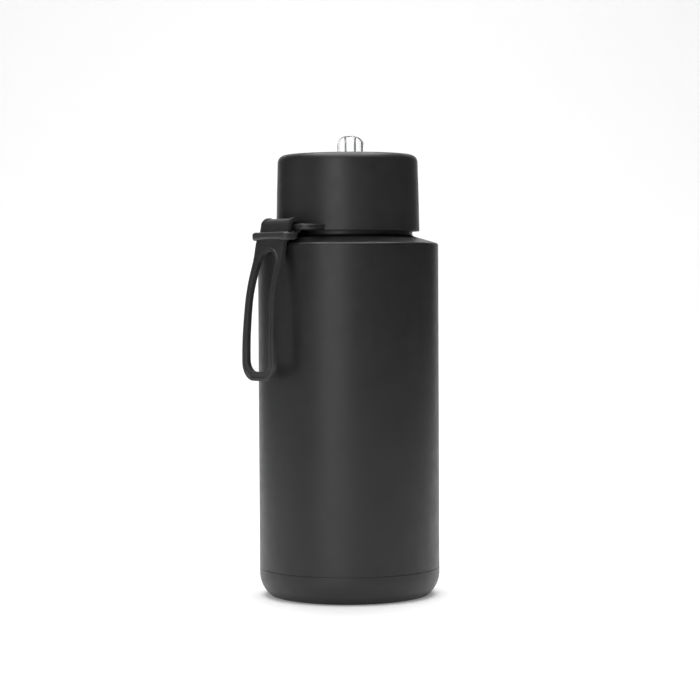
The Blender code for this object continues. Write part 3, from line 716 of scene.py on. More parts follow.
@dataclass
class Bottle:
    """The double-walled bottle: its coated shell and base cup, its pad and the steel inside."""

    radius: float = 46.5 * MM
    wall: float = 0.6 * MM
    seam_top: float = 14.64 * MM
    seam_foot: float = 14.56 * MM
    corner_z: float = 181.135 * MM
    collar: float = 33.2 * MM
    collar_foot: float = 185.1 * MM
    collar_top: float = 188.8 * MM
    neck: float = 31.8 * MM
    neck_wall: float = 0.8 * MM
    neck_top: float = 203.7 * MM
    base_rim: float = 40.05 * MM
    base_foot: float = 0.4 * MM
    pad_radius: float = 39.45 * MM
    pad_thickness: float = 1.6 * MM

    def shell(self) -> bpy.types.Object:
        """The outer wall from the seam up over the shoulder to the neck, with its thread.

        Returns:
            The shell.
        """
        slope = (self.collar_foot - self.corner_z) / (self.radius - self.collar)
        inside = self.radius - self.wall
        under = self.wall * math.hypot(1.0, slope)
        collar_bore = self.collar - self.neck_wall
        neck_bore = self.neck - self.neck_wall
        corners = [
            (self.neck, self.neck_top, 0.1 * MM),
            (self.neck, self.collar_top + 0.7 * MM, 0.5 * MM),
            (self.collar, self.collar_top, 0.4 * MM),
            (self.collar, self.collar_foot, 1.3 * MM),
            (self.radius, self.corner_z, 1.5 * MM),
            (self.radius, self.seam_top, 0.15 * MM),
            (inside, self.seam_top, 0.1 * MM),
            (inside, self.corner_z - under + slope * self.wall, 0.9 * MM),
            (collar_bore, self.collar_foot - under + slope * self.neck_wall, 1.6 * MM),
            (collar_bore, self.collar_top - 0.3 * MM, 0.3 * MM),
            (neck_bore, self.collar_top + 0.4 * MM, 0.3 * MM),
            (neck_bore, self.neck_top, 0.1 * MM),
        ]
        return gather(turned("bottle_shell", corners), Thread().ridge())

    def base(self) -> bpy.types.Object:
        """The pressed cup below the seam, with a small step up into the pad's recess.

        Returns:
            The base cup.
        """
        inside = self.radius - self.wall
        recess = self.pad_thickness + 0.3 * MM
        rim = self.base_rim - 0.9 * MM
        corners = [
            (0.0, recess + self.wall, 0.0),
            (self.base_rim - 1.2 * MM, recess + self.wall, 4.0 * MM),
            (inside, 6.2 * MM, 9.0 * MM),
            (inside, self.seam_foot, 0.1 * MM),
            (self.radius, self.seam_foot, 0.15 * MM),
            *self.base_arc(),
            (rim, self.base_foot, 0.2 * MM),
            (rim - 0.3 * MM, recess, 0.15 * MM),
            (0.0, recess, 0.0),
        ]
        return turned("bottle_base", corners, pole=True)

    def base_arc(self) -> list[Corner]:
        """The cup's rounded corner, from the straight wall down to its rim.

        Returns:
            The corners of the rounded foot.
        """
        bend = 14.9 * MM
        centre_z = 12.0 * MM
        lowest = math.asin((centre_z - self.base_foot) / bend)
        steps = 14
        angles = [lowest * i / steps for i in range(steps + 1)]
        arc = [(self.radius - bend + bend * math.cos(a), centre_z - bend * math.sin(a), 0.0) for a in angles]
        last = arc.pop()
        return [*arc, (last[0], last[1], 0.12 * MM)]

    def pad(self) -> bpy.types.Object:
        """The round rubber foot, with two moulded grooves in its underside.

        Returns:
            The pad.
        """
        grip = 0.35 * MM
        corners: list[Corner] = [
            (0.0, self.pad_thickness, 0.0),
            (self.pad_radius, self.pad_thickness, 0.3 * MM),
            (self.pad_radius, 0.0, 0.35 * MM),
        ]
        for groove in (33.0 * MM, 29.0 * MM):
            corners += [(groove, 0.0, 0.12 * MM), (groove - 0.4 * MM, grip, 0.12 * MM)]
            corners += [(groove - 1.2 * MM, grip, 0.12 * MM), (groove - 1.6 * MM, 0.0, 0.12 * MM)]
        corners.append((0.0, 0.0, 0.0))
        return turned("base_pad_rubber", corners, MEDIUM, pole=True)

    def build(self, nodes: dict[str, bpy.types.Object]) -> None:
        """Builds the outer pieces and dresses the steel inside.

        Args:
            nodes: The frame's nodes.
        """
        hand_over(self.shell(), Body.BOTTLE, COAT, "outer_shell")
        hand_over(self.base(), Body.BOTTLE, COAT, "outer_base")
        hand_over(self.pad(), Body.BOTTLE, PAD_RUBBER, "base_pad")
        carry_over(nodes, STEEL, "inner_liner", "inner_base", "middle_base", "getter")
        carry_over(nodes, BEAD_GLASS, "vacuum_seal")
        carry_over(nodes, SILICONE, "mouth_gasket")


@dataclass
class Thread:
    """The neck's helical ridge, which rises as it turns and runs out to nothing at both ends."""

    root: float = 31.35 * MM
    crest: float = 33.2 * MM
    root_width: float = 3.0 * MM
    crest_width: float = 1.2 * MM
    start_z: float = 191.9 * MM
    pitch: float = 6.0 * MM
    turn: float = 450.0
    step: float = 2.5
    run_out: float = 25.0

    def ridge(self) -> bpy.types.Object:
        """Draws the ridge's section, screws it round the neck and sinks its ends.

        Returns:
            One ridge.
        """
        half_root, half_crest = self.root_width / 2, self.crest_width / 2
        section = [
            (self.root, -half_root),
            (self.crest, -half_crest),
            (self.crest, half_crest),
            (self.root, half_root),
        ]
        ridge = draw("neck_thread", [(r, 0.0, self.start_z + h) for r, h in section])
        bpy.ops.object.mode_set(mode="OBJECT")
        steps = round(self.turn / self.step)
        screw = ridge.modifiers.new("Screw", "SCREW")
        screw.angle = math.radians(self.turn)
        screw.screw_offset = self.pitch * self.turn / 360.0
        screw.steps = screw.render_steps = steps
        screw.use_merge_vertices = False
        bpy.ops.object.modifier_apply(modifier="Screw")
        bpy.ops.object.mode_set(mode="EDIT")
        for number in range(steps + 1):
            from_end = min(number, steps - number) * self.step / self.run_out
            if from_end < 1.0:
                self.sink(ridge, number, (1.0 - from_end) * (self.crest - self.root) * 0.8)
        self.cap(ridge)
        soften(ridge, 0.2 * MM, 2)
        return done(ridge, 50.0)

    def sink(self, ridge: bpy.types.Object, number: int, depth: float) -> None:
        """Moves one section's crest towards the neck.

        Args:
            ridge: The ridge in edit mode.
            number: Which section.
            depth: How far.
        """
        work = bmesh.from_edit_mesh(ridge.data)
        work.verts.ensure_lookup_table()
        bpy.ops.mesh.select_mode(type="VERT")
        bpy.ops.mesh.select_all(action="DESELECT")
        mine = [work.verts[number * 4 + i] for i in range(4)]
        mine.sort(key=lambda vertex: vertex.co.xy.length)
        for vertex in mine[2:]:
            vertex.select = True
        out = mine[3].co.xy.normalized() * -depth
        bmesh.update_edit_mesh(ridge.data)
        bpy.ops.transform.translate(value=(out.x, out.y, 0.0))

    def cap(self, ridge: bpy.types.Object) -> None:
        """Closes the ridge's two ends."""
        bpy.ops.mesh.select_mode(type="EDGE")
        bpy.ops.mesh.select_all(action="DESELECT")
        bpy.ops.mesh.select_non_manifold()
        bpy.ops.mesh.fill_holes(sides=4)


# ---- Lid ----


@dataclass
class Lid:
    """The cap: its outer shell with the strap's bar, the recess for the spout and what is inside."""

    foot: float = 187.5 * MM
    top: float = 226.8 * MM
    foot_radius: float = 36.9 * MM
    middle_radius: float = 36.5 * MM
    top_radius: float = 35.9 * MM
    top_round: float = 4.0 * MM
    opening: float = 31.3 * MM
    bore: float = 34.9 * MM
    tray_radius: float = 31.0 * MM
    tray_bore: float = 29.6 * MM
    tray_floor: float = 212.8 * MM
    tray_underside: float = 211.0 * MM
    tray_rim: float = 226.2 * MM
    lip_radius: float = 32.6 * MM
    lip_top: float = 224.1 * MM
    pivot_z: float = 218.0 * MM
    port_back: float = 7.3 * MM
    ear_near: float = 6.95 * MM
    ear_width: float = 2.4 * MM
    ear_radius: float = 3.6 * MM
    pin_radius: float = 1.0 * MM

    def shell(self) -> bpy.types.Object:
        """The outer wall, which leans in a little, with its rounded top edge.

        Returns:
            The cap.
        """
        middle = (self.foot + self.top) / 2
        step = 209.9 * MM
        upper_bore = self.lip_radius + 1.4 * MM
        roof = self.lip_top + 0.3 * MM
        corners = [
            (self.opening, self.top, 0.5 * MM),
            (self.top_radius + 0.03 * MM, self.top, self.top_round),
            (self.middle_radius, middle, 60.0 * MM),
            (self.foot_radius, self.foot, 0.35 * MM),
            (self.bore, self.foot, 0.3 * MM),
            (self.bore, step, 0.3 * MM),
            (upper_bore, step + 1.2 * MM, 0.3 * MM),
            (upper_bore, roof - 0.6 * MM, 0.3 * MM),
            (upper_bore - 0.6 * MM, roof, 0.2 * MM),
            (self.opening, roof, 0.1 * MM),
        ]
        return gather(turned("lid_cap", corners), StrapBar().rod())

    def tray(self) -> bpy.types.Object:
        """The recess with its two ears and its holes for drinking and for air.

        Returns:
            The tray.
        """
        corners = [
            (0.0, self.tray_floor, 0.0),
            (self.tray_bore, self.tray_floor, 1.0 * MM),
            (self.tray_bore, self.tray_rim, 0.3 * MM),
            (self.tray_radius, self.tray_rim, 0.25 * MM),
            (self.tray_radius, self.lip_top, 0.0),
            (self.lip_radius, self.lip_top, 0.2 * MM),
            (self.lip_radius, self.lip_top - 1.6 * MM, 0.2 * MM),
            (self.tray_radius, self.lip_top - 1.6 * MM, 0.0),
            (self.tray_radius, self.tray_underside, 0.3 * MM),
            (0.0, self.tray_underside, 0.0),
        ]
        tray = turned("spout_tray", corners, MEDIUM, pole=True)
        for side in Side:
            combine(tray, self.ear(side), "UNION")
        reach = 2 * (self.ear_near + self.ear_width) + 2 * MM
        holes = [
            ("pin_bore", self.pin_radius + 0.2 * MM, (0.0, self.port_back, self.pivot_z), reach, True),
            ("seat_recess", 4.6 * MM, (0.0, self.port_back, self.tray_floor), 1.8 * MM, False),
            ("drinking_port", 2.4 * MM, (0.0, self.port_back, self.tray_floor), 8 * MM, False),
            ("air_hole", 1.2 * MM, (0.0, 18 * MM, self.tray_floor), 8 * MM, False),
        ]
        for name, radius, centre, depth, across in holes:
            combine(tray, done(drum(name, radius, centre, depth, across)), "DIFFERENCE")
        deselect()
        tray.select_set(True)
        bpy.context.view_layer.objects.active = tray
        bpy.ops.object.shade_smooth_by_angle(angle=math.radians(35))
        return settle(tray, Matrix.Rotation(LID_TURN, 4, "Z"))

    def ear(self, side: Side) -> bpy.types.Object:
        """One of the two round-topped ears that carry the spout's pins.

        Args:
            side: Which side of the spout.

        Returns:
            The ear.
        """
        ends = sorted((side.value * self.ear_near, side.value * (self.ear_near + self.ear_width)))
        low = (ends[0], self.port_back - self.ear_radius, self.tray_floor - 0.6 * MM)
        high = (ends[1], self.port_back + self.ear_radius, self.pivot_z + self.ear_radius)
        ear = block(f"ear_{side.name.lower()}", low, high)
        pick(ear, lambda place: place.z > self.pivot_z, "EDGE")
        work = bmesh.from_edit_mesh(ear.data)
        for edge in work.edges:
            along = edge.verts[0].co - edge.verts[1].co
            edge.select = edge.select and abs(along.x) > abs(along.y)
        bmesh.update_edit_mesh(ear.data)
        bevel(self.ear_radius * 0.999, 14)
        soften(ear, 0.25 * MM, 2, 60.0)
        return done(ear)

    def pin(self, side: Side) -> bpy.types.Object:
        """A steel hinge pin with chamfered ends.

        Args:
            side: Which side of the spout.

        Returns:
            The pin.
        """
        inner, outer = 4.35 * MM, self.ear_near + self.ear_width - 0.05 * MM
        centre = (side.value * (inner + outer) / 2, self.port_back, self.pivot_z)
        pin = drum(f"spout_pin_{side.name.lower()}_steel", self.pin_radius, centre, outer - inner, True, 32)
        soften(pin, 0.2 * MM, 2, 60.0)
        return settle(done(pin), Matrix.Rotation(LID_TURN, 4, "Z"))

    def seat(self) -> bpy.types.Object:
        """The silicone ring that the spout's hub turns on.

        Returns:
            The ring.
        """
        corners = [
            (2.6 * MM, 213.4 * MM, 0.25 * MM),
            (4.3 * MM, 213.4 * MM, 0.25 * MM),
            (4.3 * MM, 212.2 * MM, 0.2 * MM),
            (2.6 * MM, 212.2 * MM, 0.2 * MM),
        ]
        seat = turned("spout_seat_ring", corners, SMALL)
        turn = Matrix.Rotation(LID_TURN, 4, "Z")
        return settle(seat, turn @ Matrix.Translation((0.0, self.port_back, 0.0)))

    def build(self, nodes: dict[str, bpy.types.Object]) -> None:
        """Builds the pieces in sight and dresses those inside.

        Args:
            nodes: The frame's nodes.
        """
        hand_over(self.shell(), Body.LID, LID_BLACK, "lid_shell")
        hand_over(self.tray(), Body.LID, LID_BLACK, "lid_tray")
        for side in Side:
            hand_over(self.pin(side), Body.LID, STEEL, f"spout_pin_{side.name.lower()}")
        hand_over(self.seat(), Body.LID, SILICONE, "spout_seat")
        carry_over(nodes, LID_BLACK, "lid_core")
        carry_over(nodes, SILICONE, "port_seal", "vent_valve", "straw_socket")
        carry_over(nodes, CLEAR, "straw")


@dataclass
class StrapBar:
    """The rod that stands off the lid's lower edge, bent like a drawer pull in plan."""

    height: float = 3.0 * MM
    depth: float = 2.4 * MM
    level: float = 189.2 * MM
    front: float = 41.75 * MM
    half_span: float = 19.8 * MM
    corner: float = 6.5 * MM
    root: float = 29.85 * MM

    def route(self) -> list[tuple[float, float]]:
        """The rod's centre line in plan, from one root to the other.

        Returns:
            The bar's middle line in plan.
        """
        corners = [
            (-self.root, self.half_span, 0.0),
            (-self.front, self.half_span, self.corner),
            (-self.front, -self.half_span, self.corner),
            (-self.root, -self.half_span, 0.0),
        ]
        return rounded(corners, closed=False)

    def rod(self) -> bpy.types.Object:
        """Extrudes the rod's section along its centre line.

        Returns:
            The bar.
        """
        route = [Vector(point) for point in self.route()]
        start = (route[0].x, route[0].y, self.level)
        deselect()
        bpy.ops.mesh.primitive_plane_add(size=1.0, location=start, rotation=(0.0, math.pi / 2, 0.0))
        bpy.context.object.scale = (self.height, self.depth, 1.0)
        rod = begin("strap_bar")
        bevel(0.8 * MM, 5, corners=True)
        heading = (route[1] - route[0]).normalized()
        for i in range(1, len(route)):
            step = route[i] - route[i - 1]
            follow = (route[min(i + 1, len(route) - 1)] - route[i - 1]).normalized()
            bpy.ops.mesh.extrude_region_move(TRANSFORM_OT_translate={"value": (step.x, step.y, 0.0)})
            turn = heading.angle_signed(follow)
            if abs(turn) > 1e-6:
                here = (route[i].x, route[i].y, self.level)
                bpy.ops.transform.rotate(value=turn, orient_axis="Z", center_override=here)
            heading = follow
        bpy.ops.mesh.select_all(action="SELECT")
        return done(rod, 50.0)


# ---- Spout ----


@dataclass
class Spout:
    """The clear mouthpiece: a blade on a hub, with a flat channel through it."""

    half_width: float = 6.65 * MM
    half_thickness: float = 3.3 * MM
    hub_radius: float = 4.3 * MM
    pivot: Point = (0.0, 7.3 * MM, 218.0 * MM)
    top: float = 237.1 * MM
    corner: float = 5.0 * MM
    edge: float = 1.6 * MM

    def blade(self) -> bpy.types.Object:
        """The upright part, rounded at its top corners and all along its edges.

        Returns:
            The blade.
        """
        low = (-self.half_width, self.pivot[1] - self.half_thickness, self.pivot[2])
        high = (self.half_width, self.pivot[1] + self.half_thickness, self.top)
        blade = block("spout_clear", low, high)
        pick(blade, lambda place: place.z > self.top - MM, "EDGE")
        work = bmesh.from_edit_mesh(blade.data)
        for edge in work.edges:
            along = edge.verts[0].co - edge.verts[1].co
            edge.select = edge.select and abs(along.y) > abs(along.x)
        bmesh.update_edit_mesh(blade.data)
        bevel(self.corner, 16)
        bpy.ops.mesh.select_all(action="SELECT")
        bpy.ops.mesh.normals_make_consistent(inside=False)
        bpy.ops.mesh.select_mode(type="EDGE")
        bpy.ops.mesh.select_all(action="DESELECT")
        bpy.ops.mesh.edges_select_sharp(sharpness=math.radians(60))
        work = bmesh.from_edit_mesh(blade.data)
        for edge in work.edges:
            foot = all(vertex.co.z < self.pivot[2] + 0.1 * MM for vertex in edge.verts)
            edge.select = edge.select and not foot
        bmesh.update_edit_mesh(blade.data)
        bevel(self.edge, 7)
        return done(blade)

    def hub(self) -> bpy.types.Object:
        """The barrel that turns on the pins."""
        hub = drum("spout_hub", self.hub_radius, self.pivot, 2 * self.half_width, True)
        soften(hub, 0.35 * MM, 3, 60.0)
        return done(hub)

    def channel(self) -> bpy.types.Object:
        """The flat channel that is cut through blade and hub.

        Returns:
            The piece that is cut away.
        """
        x, y, z = self.pivot
        low = (x - 3.0 * MM, y - 1.4 * MM, z - self.hub_radius - MM)
        high = (x + 3.0 * MM, y + 1.4 * MM, self.top + MM)
        channel = block("spout_channel", low, high)
        work = bmesh.from_edit_mesh(channel.data)
        bpy.ops.mesh.select_mode(type="EDGE")
        bpy.ops.mesh.select_all(action="DESELECT")
        for edge in work.edges:
            along = edge.verts[0].co - edge.verts[1].co
            edge.select = abs(along.z) > 5 * MM
        bmesh.update_edit_mesh(channel.data)
        bevel(1.39 * MM, 8)
        return done(channel)

    def build(self) -> None:
        """Builds the spout and sets it on its pivot."""
        spout = combine(self.blade(), self.hub(), "UNION")
        combine(spout, self.channel(), "DIFFERENCE")
        for side in Side:
            centre = (side.value * self.half_width, self.pivot[1], self.pivot[2])
            combine(spout, done(drum("pin_hole", 1.2 * MM, centre, 5.2 * MM, True, 32)), "DIFFERENCE")
        deselect()
        spout.select_set(True)
        bpy.context.view_layer.objects.active = spout
        bpy.ops.object.shade_smooth_by_angle(angle=math.radians(35))
        settle(spout, Matrix.Rotation(LID_TURN, 4, "Z"))
        hand_over(spout, Body.SPOUT, CLEAR, "spout")


# ---- Strap ----


@dataclass
class Strap:
    """The rubber strap: tucked tongue, fold over the bar and the hanging loop with its window."""

    hinge: Point = (-41.75 * MM, 0.0, 189.6 * MM)
    fold_radius: float = 2.15 * MM
    thickness: float = 2.4 * MM
    tongue_thickness: float = 1.8 * MM
    length: float = 77.4 * MM
    foot_round: float = 9.3 * MM
    head_centre: float = -20.2 * MM
    head_half: float = 7.6 * MM
    window_foot: float = -72.8 * MM
    window_half: float = 9.3 * MM
    window_round: float = 5.9 * MM
    join_z: float = -9.6 * MM
    rim: float = 1.45 * MM
    rim_slope: float = 0.3 * MM
    panel_depth: float = 0.5 * MM
    panel_start: float = 9.0 * MM
    panel_head: float = 2.0 * MM
    row: float = 0.32 * MM

    def stations(self) -> list[tuple[float, float, float]]:
        """(reach, height, half width) down the middle of the hanging run.

        Returns:
            The stations from the fold down to the foot.
        """
        rows = [
            (3.35, 0.0, 11.2),
            (4.331, -4.232, 11.59),
            (6.292, -8.038, 12.0),
            (8.05, -16.965, 12.11),
            (10.95, -26.965, 12.15),
            (12.85, -36.965, 12.35),
            (13.9, -51.965, 13.19),
            (14.15, -63.465, 13.71),
            (13.95, -77.4, 13.8),
        ]
        return [(x * MM, z * MM, half * MM) for x, z, half in rows]

    def run(self) -> list[list[float]]:
        """Points on a smooth curve through the stations.

        Returns:
            Rows of reach, height and half width.
        """
        rows = self.stations()
        padded = [rows[0], *rows, rows[-1]]
        steps = 12
        points = []
        for a, b, c, d in zip(padded, padded[1:], padded[2:], padded[3:]):
            for i in range(steps):
                t = i / steps
                points.append([
                    0.5 * (2 * q + (r - p) * t + (2 * p - 5 * q + 4 * r - s) * t**2 + (3 * q - p - 3 * r + s) * t**3)
                    for p, q, r, s in zip(a, b, c, d)
                ])
        return [*points, list(rows[-1])]

    def path(self) -> tuple[list[Vector], int]:
        """The strap's inner face seen from the side, from the tongue's end to the foot.

        Returns:
            Its points, and the number of the point where the hanging run starts.
        """
        lap_radius = self.fold_radius
        half = self.tongue_thickness / 2
        lap = arc(Vector((0, 0)), lap_radius, 264, 180, 21)
        middle = arc(Vector((0, 0)), lap_radius + half, 264, 264, 1)[0]
        bend = 1.7 * MM
        centre = Vector((middle.x + 0.8 * MM, middle.y - bend))
        elbow = arc(centre, bend + half, 15, 84, 16)
        last = elbow[0]
        lean = math.radians(15)
        drop = 1.9 * MM
        end = Vector((last.x + drop * math.sin(lean), last.y - drop * math.cos(lean)))
        fold = arc(Vector((0, 0)), lap_radius, 176, 4, 43)
        points = [end, *elbow, *lap, *fold]
        start = len(points)
        row = self.run()
        for i, (x, z, _) in enumerate(row):
            before, after = row[max(i - 1, 0)], row[min(i + 1, len(row) - 1)]
            along = Vector((after[0] - before[0], after[1] - before[1])).normalized()
            points.append(Vector((x, z)) + Vector((along.y, -along.x)) * self.thickness / 2)
        return points, start

    def half_at(self, z: float) -> float:
        """The strap's half width at a height, foot rounding included.

        Args:
            z: The height, from the hinge.

        Returns:
            The half width.
        """
        half = at_height(self.run(), z, 2)
        into = self.foot_round - (z + self.length)
        if into > 0:
            half -= self.foot_round - math.sqrt(max(self.foot_round**2 - into**2, 0.0))
        return half

    def outer_loop(self) -> list[tuple[float, float]]:
        """(height, across) round the loop's outside: down one side, round the foot, up and across the top.

        Returns:
            The points of the loop.
        """
        knee = self.foot_round - self.length
        side = [self.join_z + (knee - self.join_z) * i / 60 for i in range(60)]
        down = [(z, self.half_at(z)) for z in side]
        bend_y = self.half_at(knee) - self.foot_round
        foot = arc(Vector((bend_y, knee)), self.foot_round, 0, -90, 24)
        round_foot = [(point.y, point.x) for point in foot]
        half = down + round_foot
        across = [(self.join_z, self.half_at(self.join_z) * (-1 + i / 8)) for i in range(1, 16)]
        return half + [(z, -y) for z, y in reversed(half)] + across

    def window_loop(self) -> list[tuple[float, float]]:
        """(height, across) round the window, with a point for each of the outer loop's.

        Returns:
            The points of the loop.
        """
        knee = self.window_foot + self.window_round
        centre = Vector((0.0, self.head_centre))
        shoulder = [Vector((p.x, p.y)) for p in arc(centre, self.head_half, 30, 0, 8)]
        down = [(p.y, p.x) for p in shoulder]
        for i in range(1, 52):
            share = i / 52
            z = self.head_centre + (knee - self.head_centre) * share
            ease = share * (2 - share)
            down.append((z, self.head_half + (self.window_half - self.head_half) * ease))
        foot = arc(Vector((self.window_half - self.window_round, knee)), self.window_round, 0, -90, 24)
        half = down + [(point.y, point.x) for point in foot]
        head = arc(centre, self.head_half, 150, 30, 16)[1:-1]
        return half + [(z, -y) for z, y in reversed(half)] + [(p.y, p.x) for p in head]

    def flat(self) -> bpy.types.Object:
        """The strap laid flat, its inner face down: X runs from the tongue's end to the foot.

        Returns:
            The flat strap in edit mode.
        """
        path, start = self.path()
        lengths = [0.0]
        for before, after in zip(path, path[1:]):
            lengths.append(lengths[-1] + (after - before).length)
        heights = [[path[i].y, lengths[i]] for i in range(start, len(path))]

        def along(z: float) -> float:
            """How far along the strap a height of the hanging run lies."""
            return at_height([[0.0, height, distance] for height, distance in heights], z, 2)

        outer = [(along(z), y, 0.0) for z, y in self.outer_loop()]
        window = [(along(z), y, 0.0) for z, y in self.window_loop()]
        strap = draw("strap_window_edge", window)
        rim = draw("strap_band", outer)
        bpy.ops.object.mode_set(mode="OBJECT")
        gather(rim, strap)
        bpy.ops.object.mode_set(mode="EDIT")
        bpy.ops.mesh.select_mode(type="EDGE")
        bpy.ops.mesh.select_all(action="SELECT")
        bpy.ops.mesh.bridge_edge_loops()
        self.lengthen(rim, along(self.join_z))
        return rim

    def lengthen(self, strap: bpy.types.Object, join: float) -> None:
        """Carries the flat strap on from the top of the loop to the tongue's end.

        Args:
            strap: The flat loop, in edit mode.
            join: Where the loop's straight top edge lies.
        """
        pick(strap, lambda place: abs(place.x - join) < 0.001 * MM, "EDGE")
        stops = [join, self.panel_start + self.panel_head, self.panel_start, 0.0]
        for far, near in zip(stops, stops[1:]):
            rows = 1 if near == self.panel_start else round((far - near) / self.row)
            for _ in range(rows):
                step = (far - near) / rows
                bpy.ops.mesh.extrude_edges_move(TRANSFORM_OT_translate={"value": (-step, 0.0, 0.0)})

    def split_head(self) -> None:
        """Cuts the long row at the panel's head into short ones, so that it bends smoothly."""
        rows = round(self.panel_head / self.row)
        for i in range(1, rows):
            bpy.ops.mesh.select_all(action="SELECT")
            place = self.panel_start + self.panel_head * i / rows
            bpy.ops.mesh.bisect(plane_co=(place, 0.0, 0.0), plane_no=(1.0, 0.0, 0.0))

    def band(self) -> bpy.types.Object:
        """Gives the flat strap its thickness, its rims and its rounded edges, then bends it to shape.

        Returns:
            The strap in its place.
        """
        strap = self.flat()
        bpy.ops.mesh.select_mode(type="FACE")
        bpy.ops.mesh.select_all(action="SELECT")
        bpy.ops.mesh.normals_make_consistent(inside=False)
        bpy.ops.mesh.extrude_region_move(TRANSFORM_OT_translate={"value": (0.0, 0.0, self.thickness)})
        bpy.ops.mesh.select_all(action="SELECT")
        bpy.ops.mesh.normals_make_consistent(inside=False)
        start = self.panel_start - 0.01 * MM
        top = self.thickness - 0.01 * MM
        pick(strap, lambda place: place.z > top and place.x > start, "FACE")
        bpy.ops.mesh.inset(thickness=self.rim, use_even_offset=True)
        bpy.ops.mesh.inset(thickness=self.rim_slope, depth=-self.panel_depth, use_even_offset=True)
        pick(strap, lambda place: place.z > top and place.x < start - 0.4 * MM)
        bpy.ops.transform.translate(value=(0.0, 0.0, self.tongue_thickness - self.thickness))
        middle, end = self.thickness / 2, 0.1 * MM
        soften(strap, 0.9 * MM, 5, 70.0, lambda place: place.z > middle and place.x > end)
        soften(strap, 0.4 * MM, 3, 70.0, lambda place: place.z < 0.01 * MM and place.x > end)
        self.split_head()
        done(strap, 40.0)
        self.bend(strap)
        return settle(strap, self.place())

    def place(self) -> Matrix:
        """Where the hinge's frame lies."""
        return Matrix.Translation(self.hinge) @ Matrix.Rotation(math.pi, 4, "Z")

    def bend(self, strap: bpy.types.Object) -> None:
        """Bends the flat strap along its path with a Curve modifier, which is then applied.

        Args:
            strap: The flat strap.
        """
        path, _ = self.path()
        line = bpy.data.curves.new("strap_path", "CURVE")
        line.dimensions = "3D"
        line.twist_mode = "MINIMUM"
        spline = line.splines.new("POLY")
        spline.points.add(len(path) - 1)
        for point, place in zip(spline.points, path):
            point.co = (place.x, 0.0, place.y, 1.0)
            point.tilt = math.pi
        guide = bpy.data.objects.new("strap_path", line)
        bpy.context.scene.collection.objects.link(guide)
        deselect()
        strap.select_set(True)
        bpy.context.view_layer.objects.active = strap
        modifier = strap.modifiers.new("Bend", "CURVE")
        modifier.object = guide
        modifier.deform_axis = "POS_X"
        bpy.ops.object.modifier_apply(modifier="Bend")
        bpy.data.objects.remove(guide)

    def build(self) -> None:
        """Builds the strap and its keeper."""
        hand_over(self.band(), Body.STRAP, STRAP_RUBBER, "strap")
        keeper = settle(Keeper().ring(), self.place())
        hand_over(keeper, Body.STRAP, STRAP_RUBBER, "strap_keeper")


@dataclass
class Keeper:
    """The ring that holds the fold shut, deep at its front and sides and low at its back."""

    back: float = 0.99 * MM
    front: float = 7.39 * MM
    back_wall: float = 1.2 * MM
    front_wall: float = 1.7 * MM
    inner_half: float = 13.2 * MM
    outer_half: float = 15.2 * MM
    top: float = -2.8 * MM
    height: float = 3.6 * MM
    back_height: float = 1.4 * MM
    droop: float = 0.8 * MM
    corner: float = 3.2 * MM
    edge: float = 1.4 * MM

    def outline(self, low: float, high: float, half: float, corner: float) -> list[Point]:
        """A rounded rectangle in plan, with points along its long sides.

        Args:
            low: The reach of its back.
            high: The reach of its front.
            half: Half its width.
            corner: The corners' radius.

        Returns:
            The points of the outline.
        """
        points = [Vector((high, half * f)) for f in (0.6, 0.3, 0.0, -0.3, -0.6)]
        points += arc(Vector((high - corner, corner - half)), corner, 0, -90, 8)
        points += arc(Vector((low + corner, corner - half)), corner, -90, -180, 8)
        points += [Vector((low, half * f)) for f in (-0.6, -0.3, 0.0, 0.3, 0.6)]
        points += arc(Vector((low + corner, half - corner)), corner, 180, 90, 8)
        points += arc(Vector((high - corner, half - corner)), corner, 90, 0, 8)
        return [(point.x, point.y, self.top - self.height) for point in points]

    def ring(self) -> bpy.types.Object:
        """Bridges the inner and outer outline, extrudes them up and shapes the back and the ends.

        Returns:
            The ring.
        """
        inner = draw("keeper_bore", self.outline(self.back, self.front, self.inner_half, 1.0 * MM))
        heel = self.back - self.back_wall
        around = self.outline(heel, self.front + self.front_wall, self.outer_half, self.corner)
        ring = draw("strap_keeper_ring", around)
        bpy.ops.object.mode_set(mode="OBJECT")
        gather(ring, inner)
        bpy.ops.object.mode_set(mode="EDIT")
        bpy.ops.mesh.select_mode(type="EDGE")
        bpy.ops.mesh.select_all(action="SELECT")
        bpy.ops.mesh.bridge_edge_loops()
        bpy.ops.mesh.select_all(action="SELECT")
        bpy.ops.mesh.extrude_region_move(TRANSFORM_OT_translate={"value": (0.0, 0.0, self.height)})
        knee = self.back + 1.5 * MM
        rim = self.top - 0.1 * MM
        pick(ring, lambda p: p.z > rim and p.x < knee and abs(p.y) < self.inner_half)
        bpy.ops.transform.translate(value=(0.0, 0.0, self.back_height - self.height))
        foot = self.top - self.height + 0.05 * MM
        work = bmesh.from_edit_mesh(ring.data)
        levels = sorted({round(abs(v.co.y) / MM, 2) for v in work.verts if v.co.z < foot and v.co.x > knee})
        for level in levels:
            self.lower(ring, foot, knee, level * MM)
        bpy.ops.mesh.select_all(action="SELECT")
        outside = self.inner_half + 0.3 * MM
        tip = self.front + 0.3 * MM
        past_heel = heel + self.corner - 0.1 * MM
        soften(
            ring,
            self.edge,
            5,
            40.0,
            lambda place: place.x > past_heel and (abs(place.y) > outside or place.x > tip),
            clamp=False,
        )
        return done(ring, 40.0)

    def lower(self, ring: bpy.types.Object, foot: float, knee: float, level: float) -> None:
        """Drops the lower edge at one distance from the middle.

        Args:
            ring: The ring in edit mode.
            foot: Vertices below this height are on the lower edge.
            knee: Vertices behind this reach belong to the back bar.
            level: The distance from the middle.
        """
        pick(ring, lambda p: p.z < foot and p.x > knee and abs(abs(p.y) - level) < 0.006 * MM)
        fall = self.droop * (level / self.outer_half) ** 2
        bpy.ops.transform.translate(value=(0.0, 0.0, -fall))


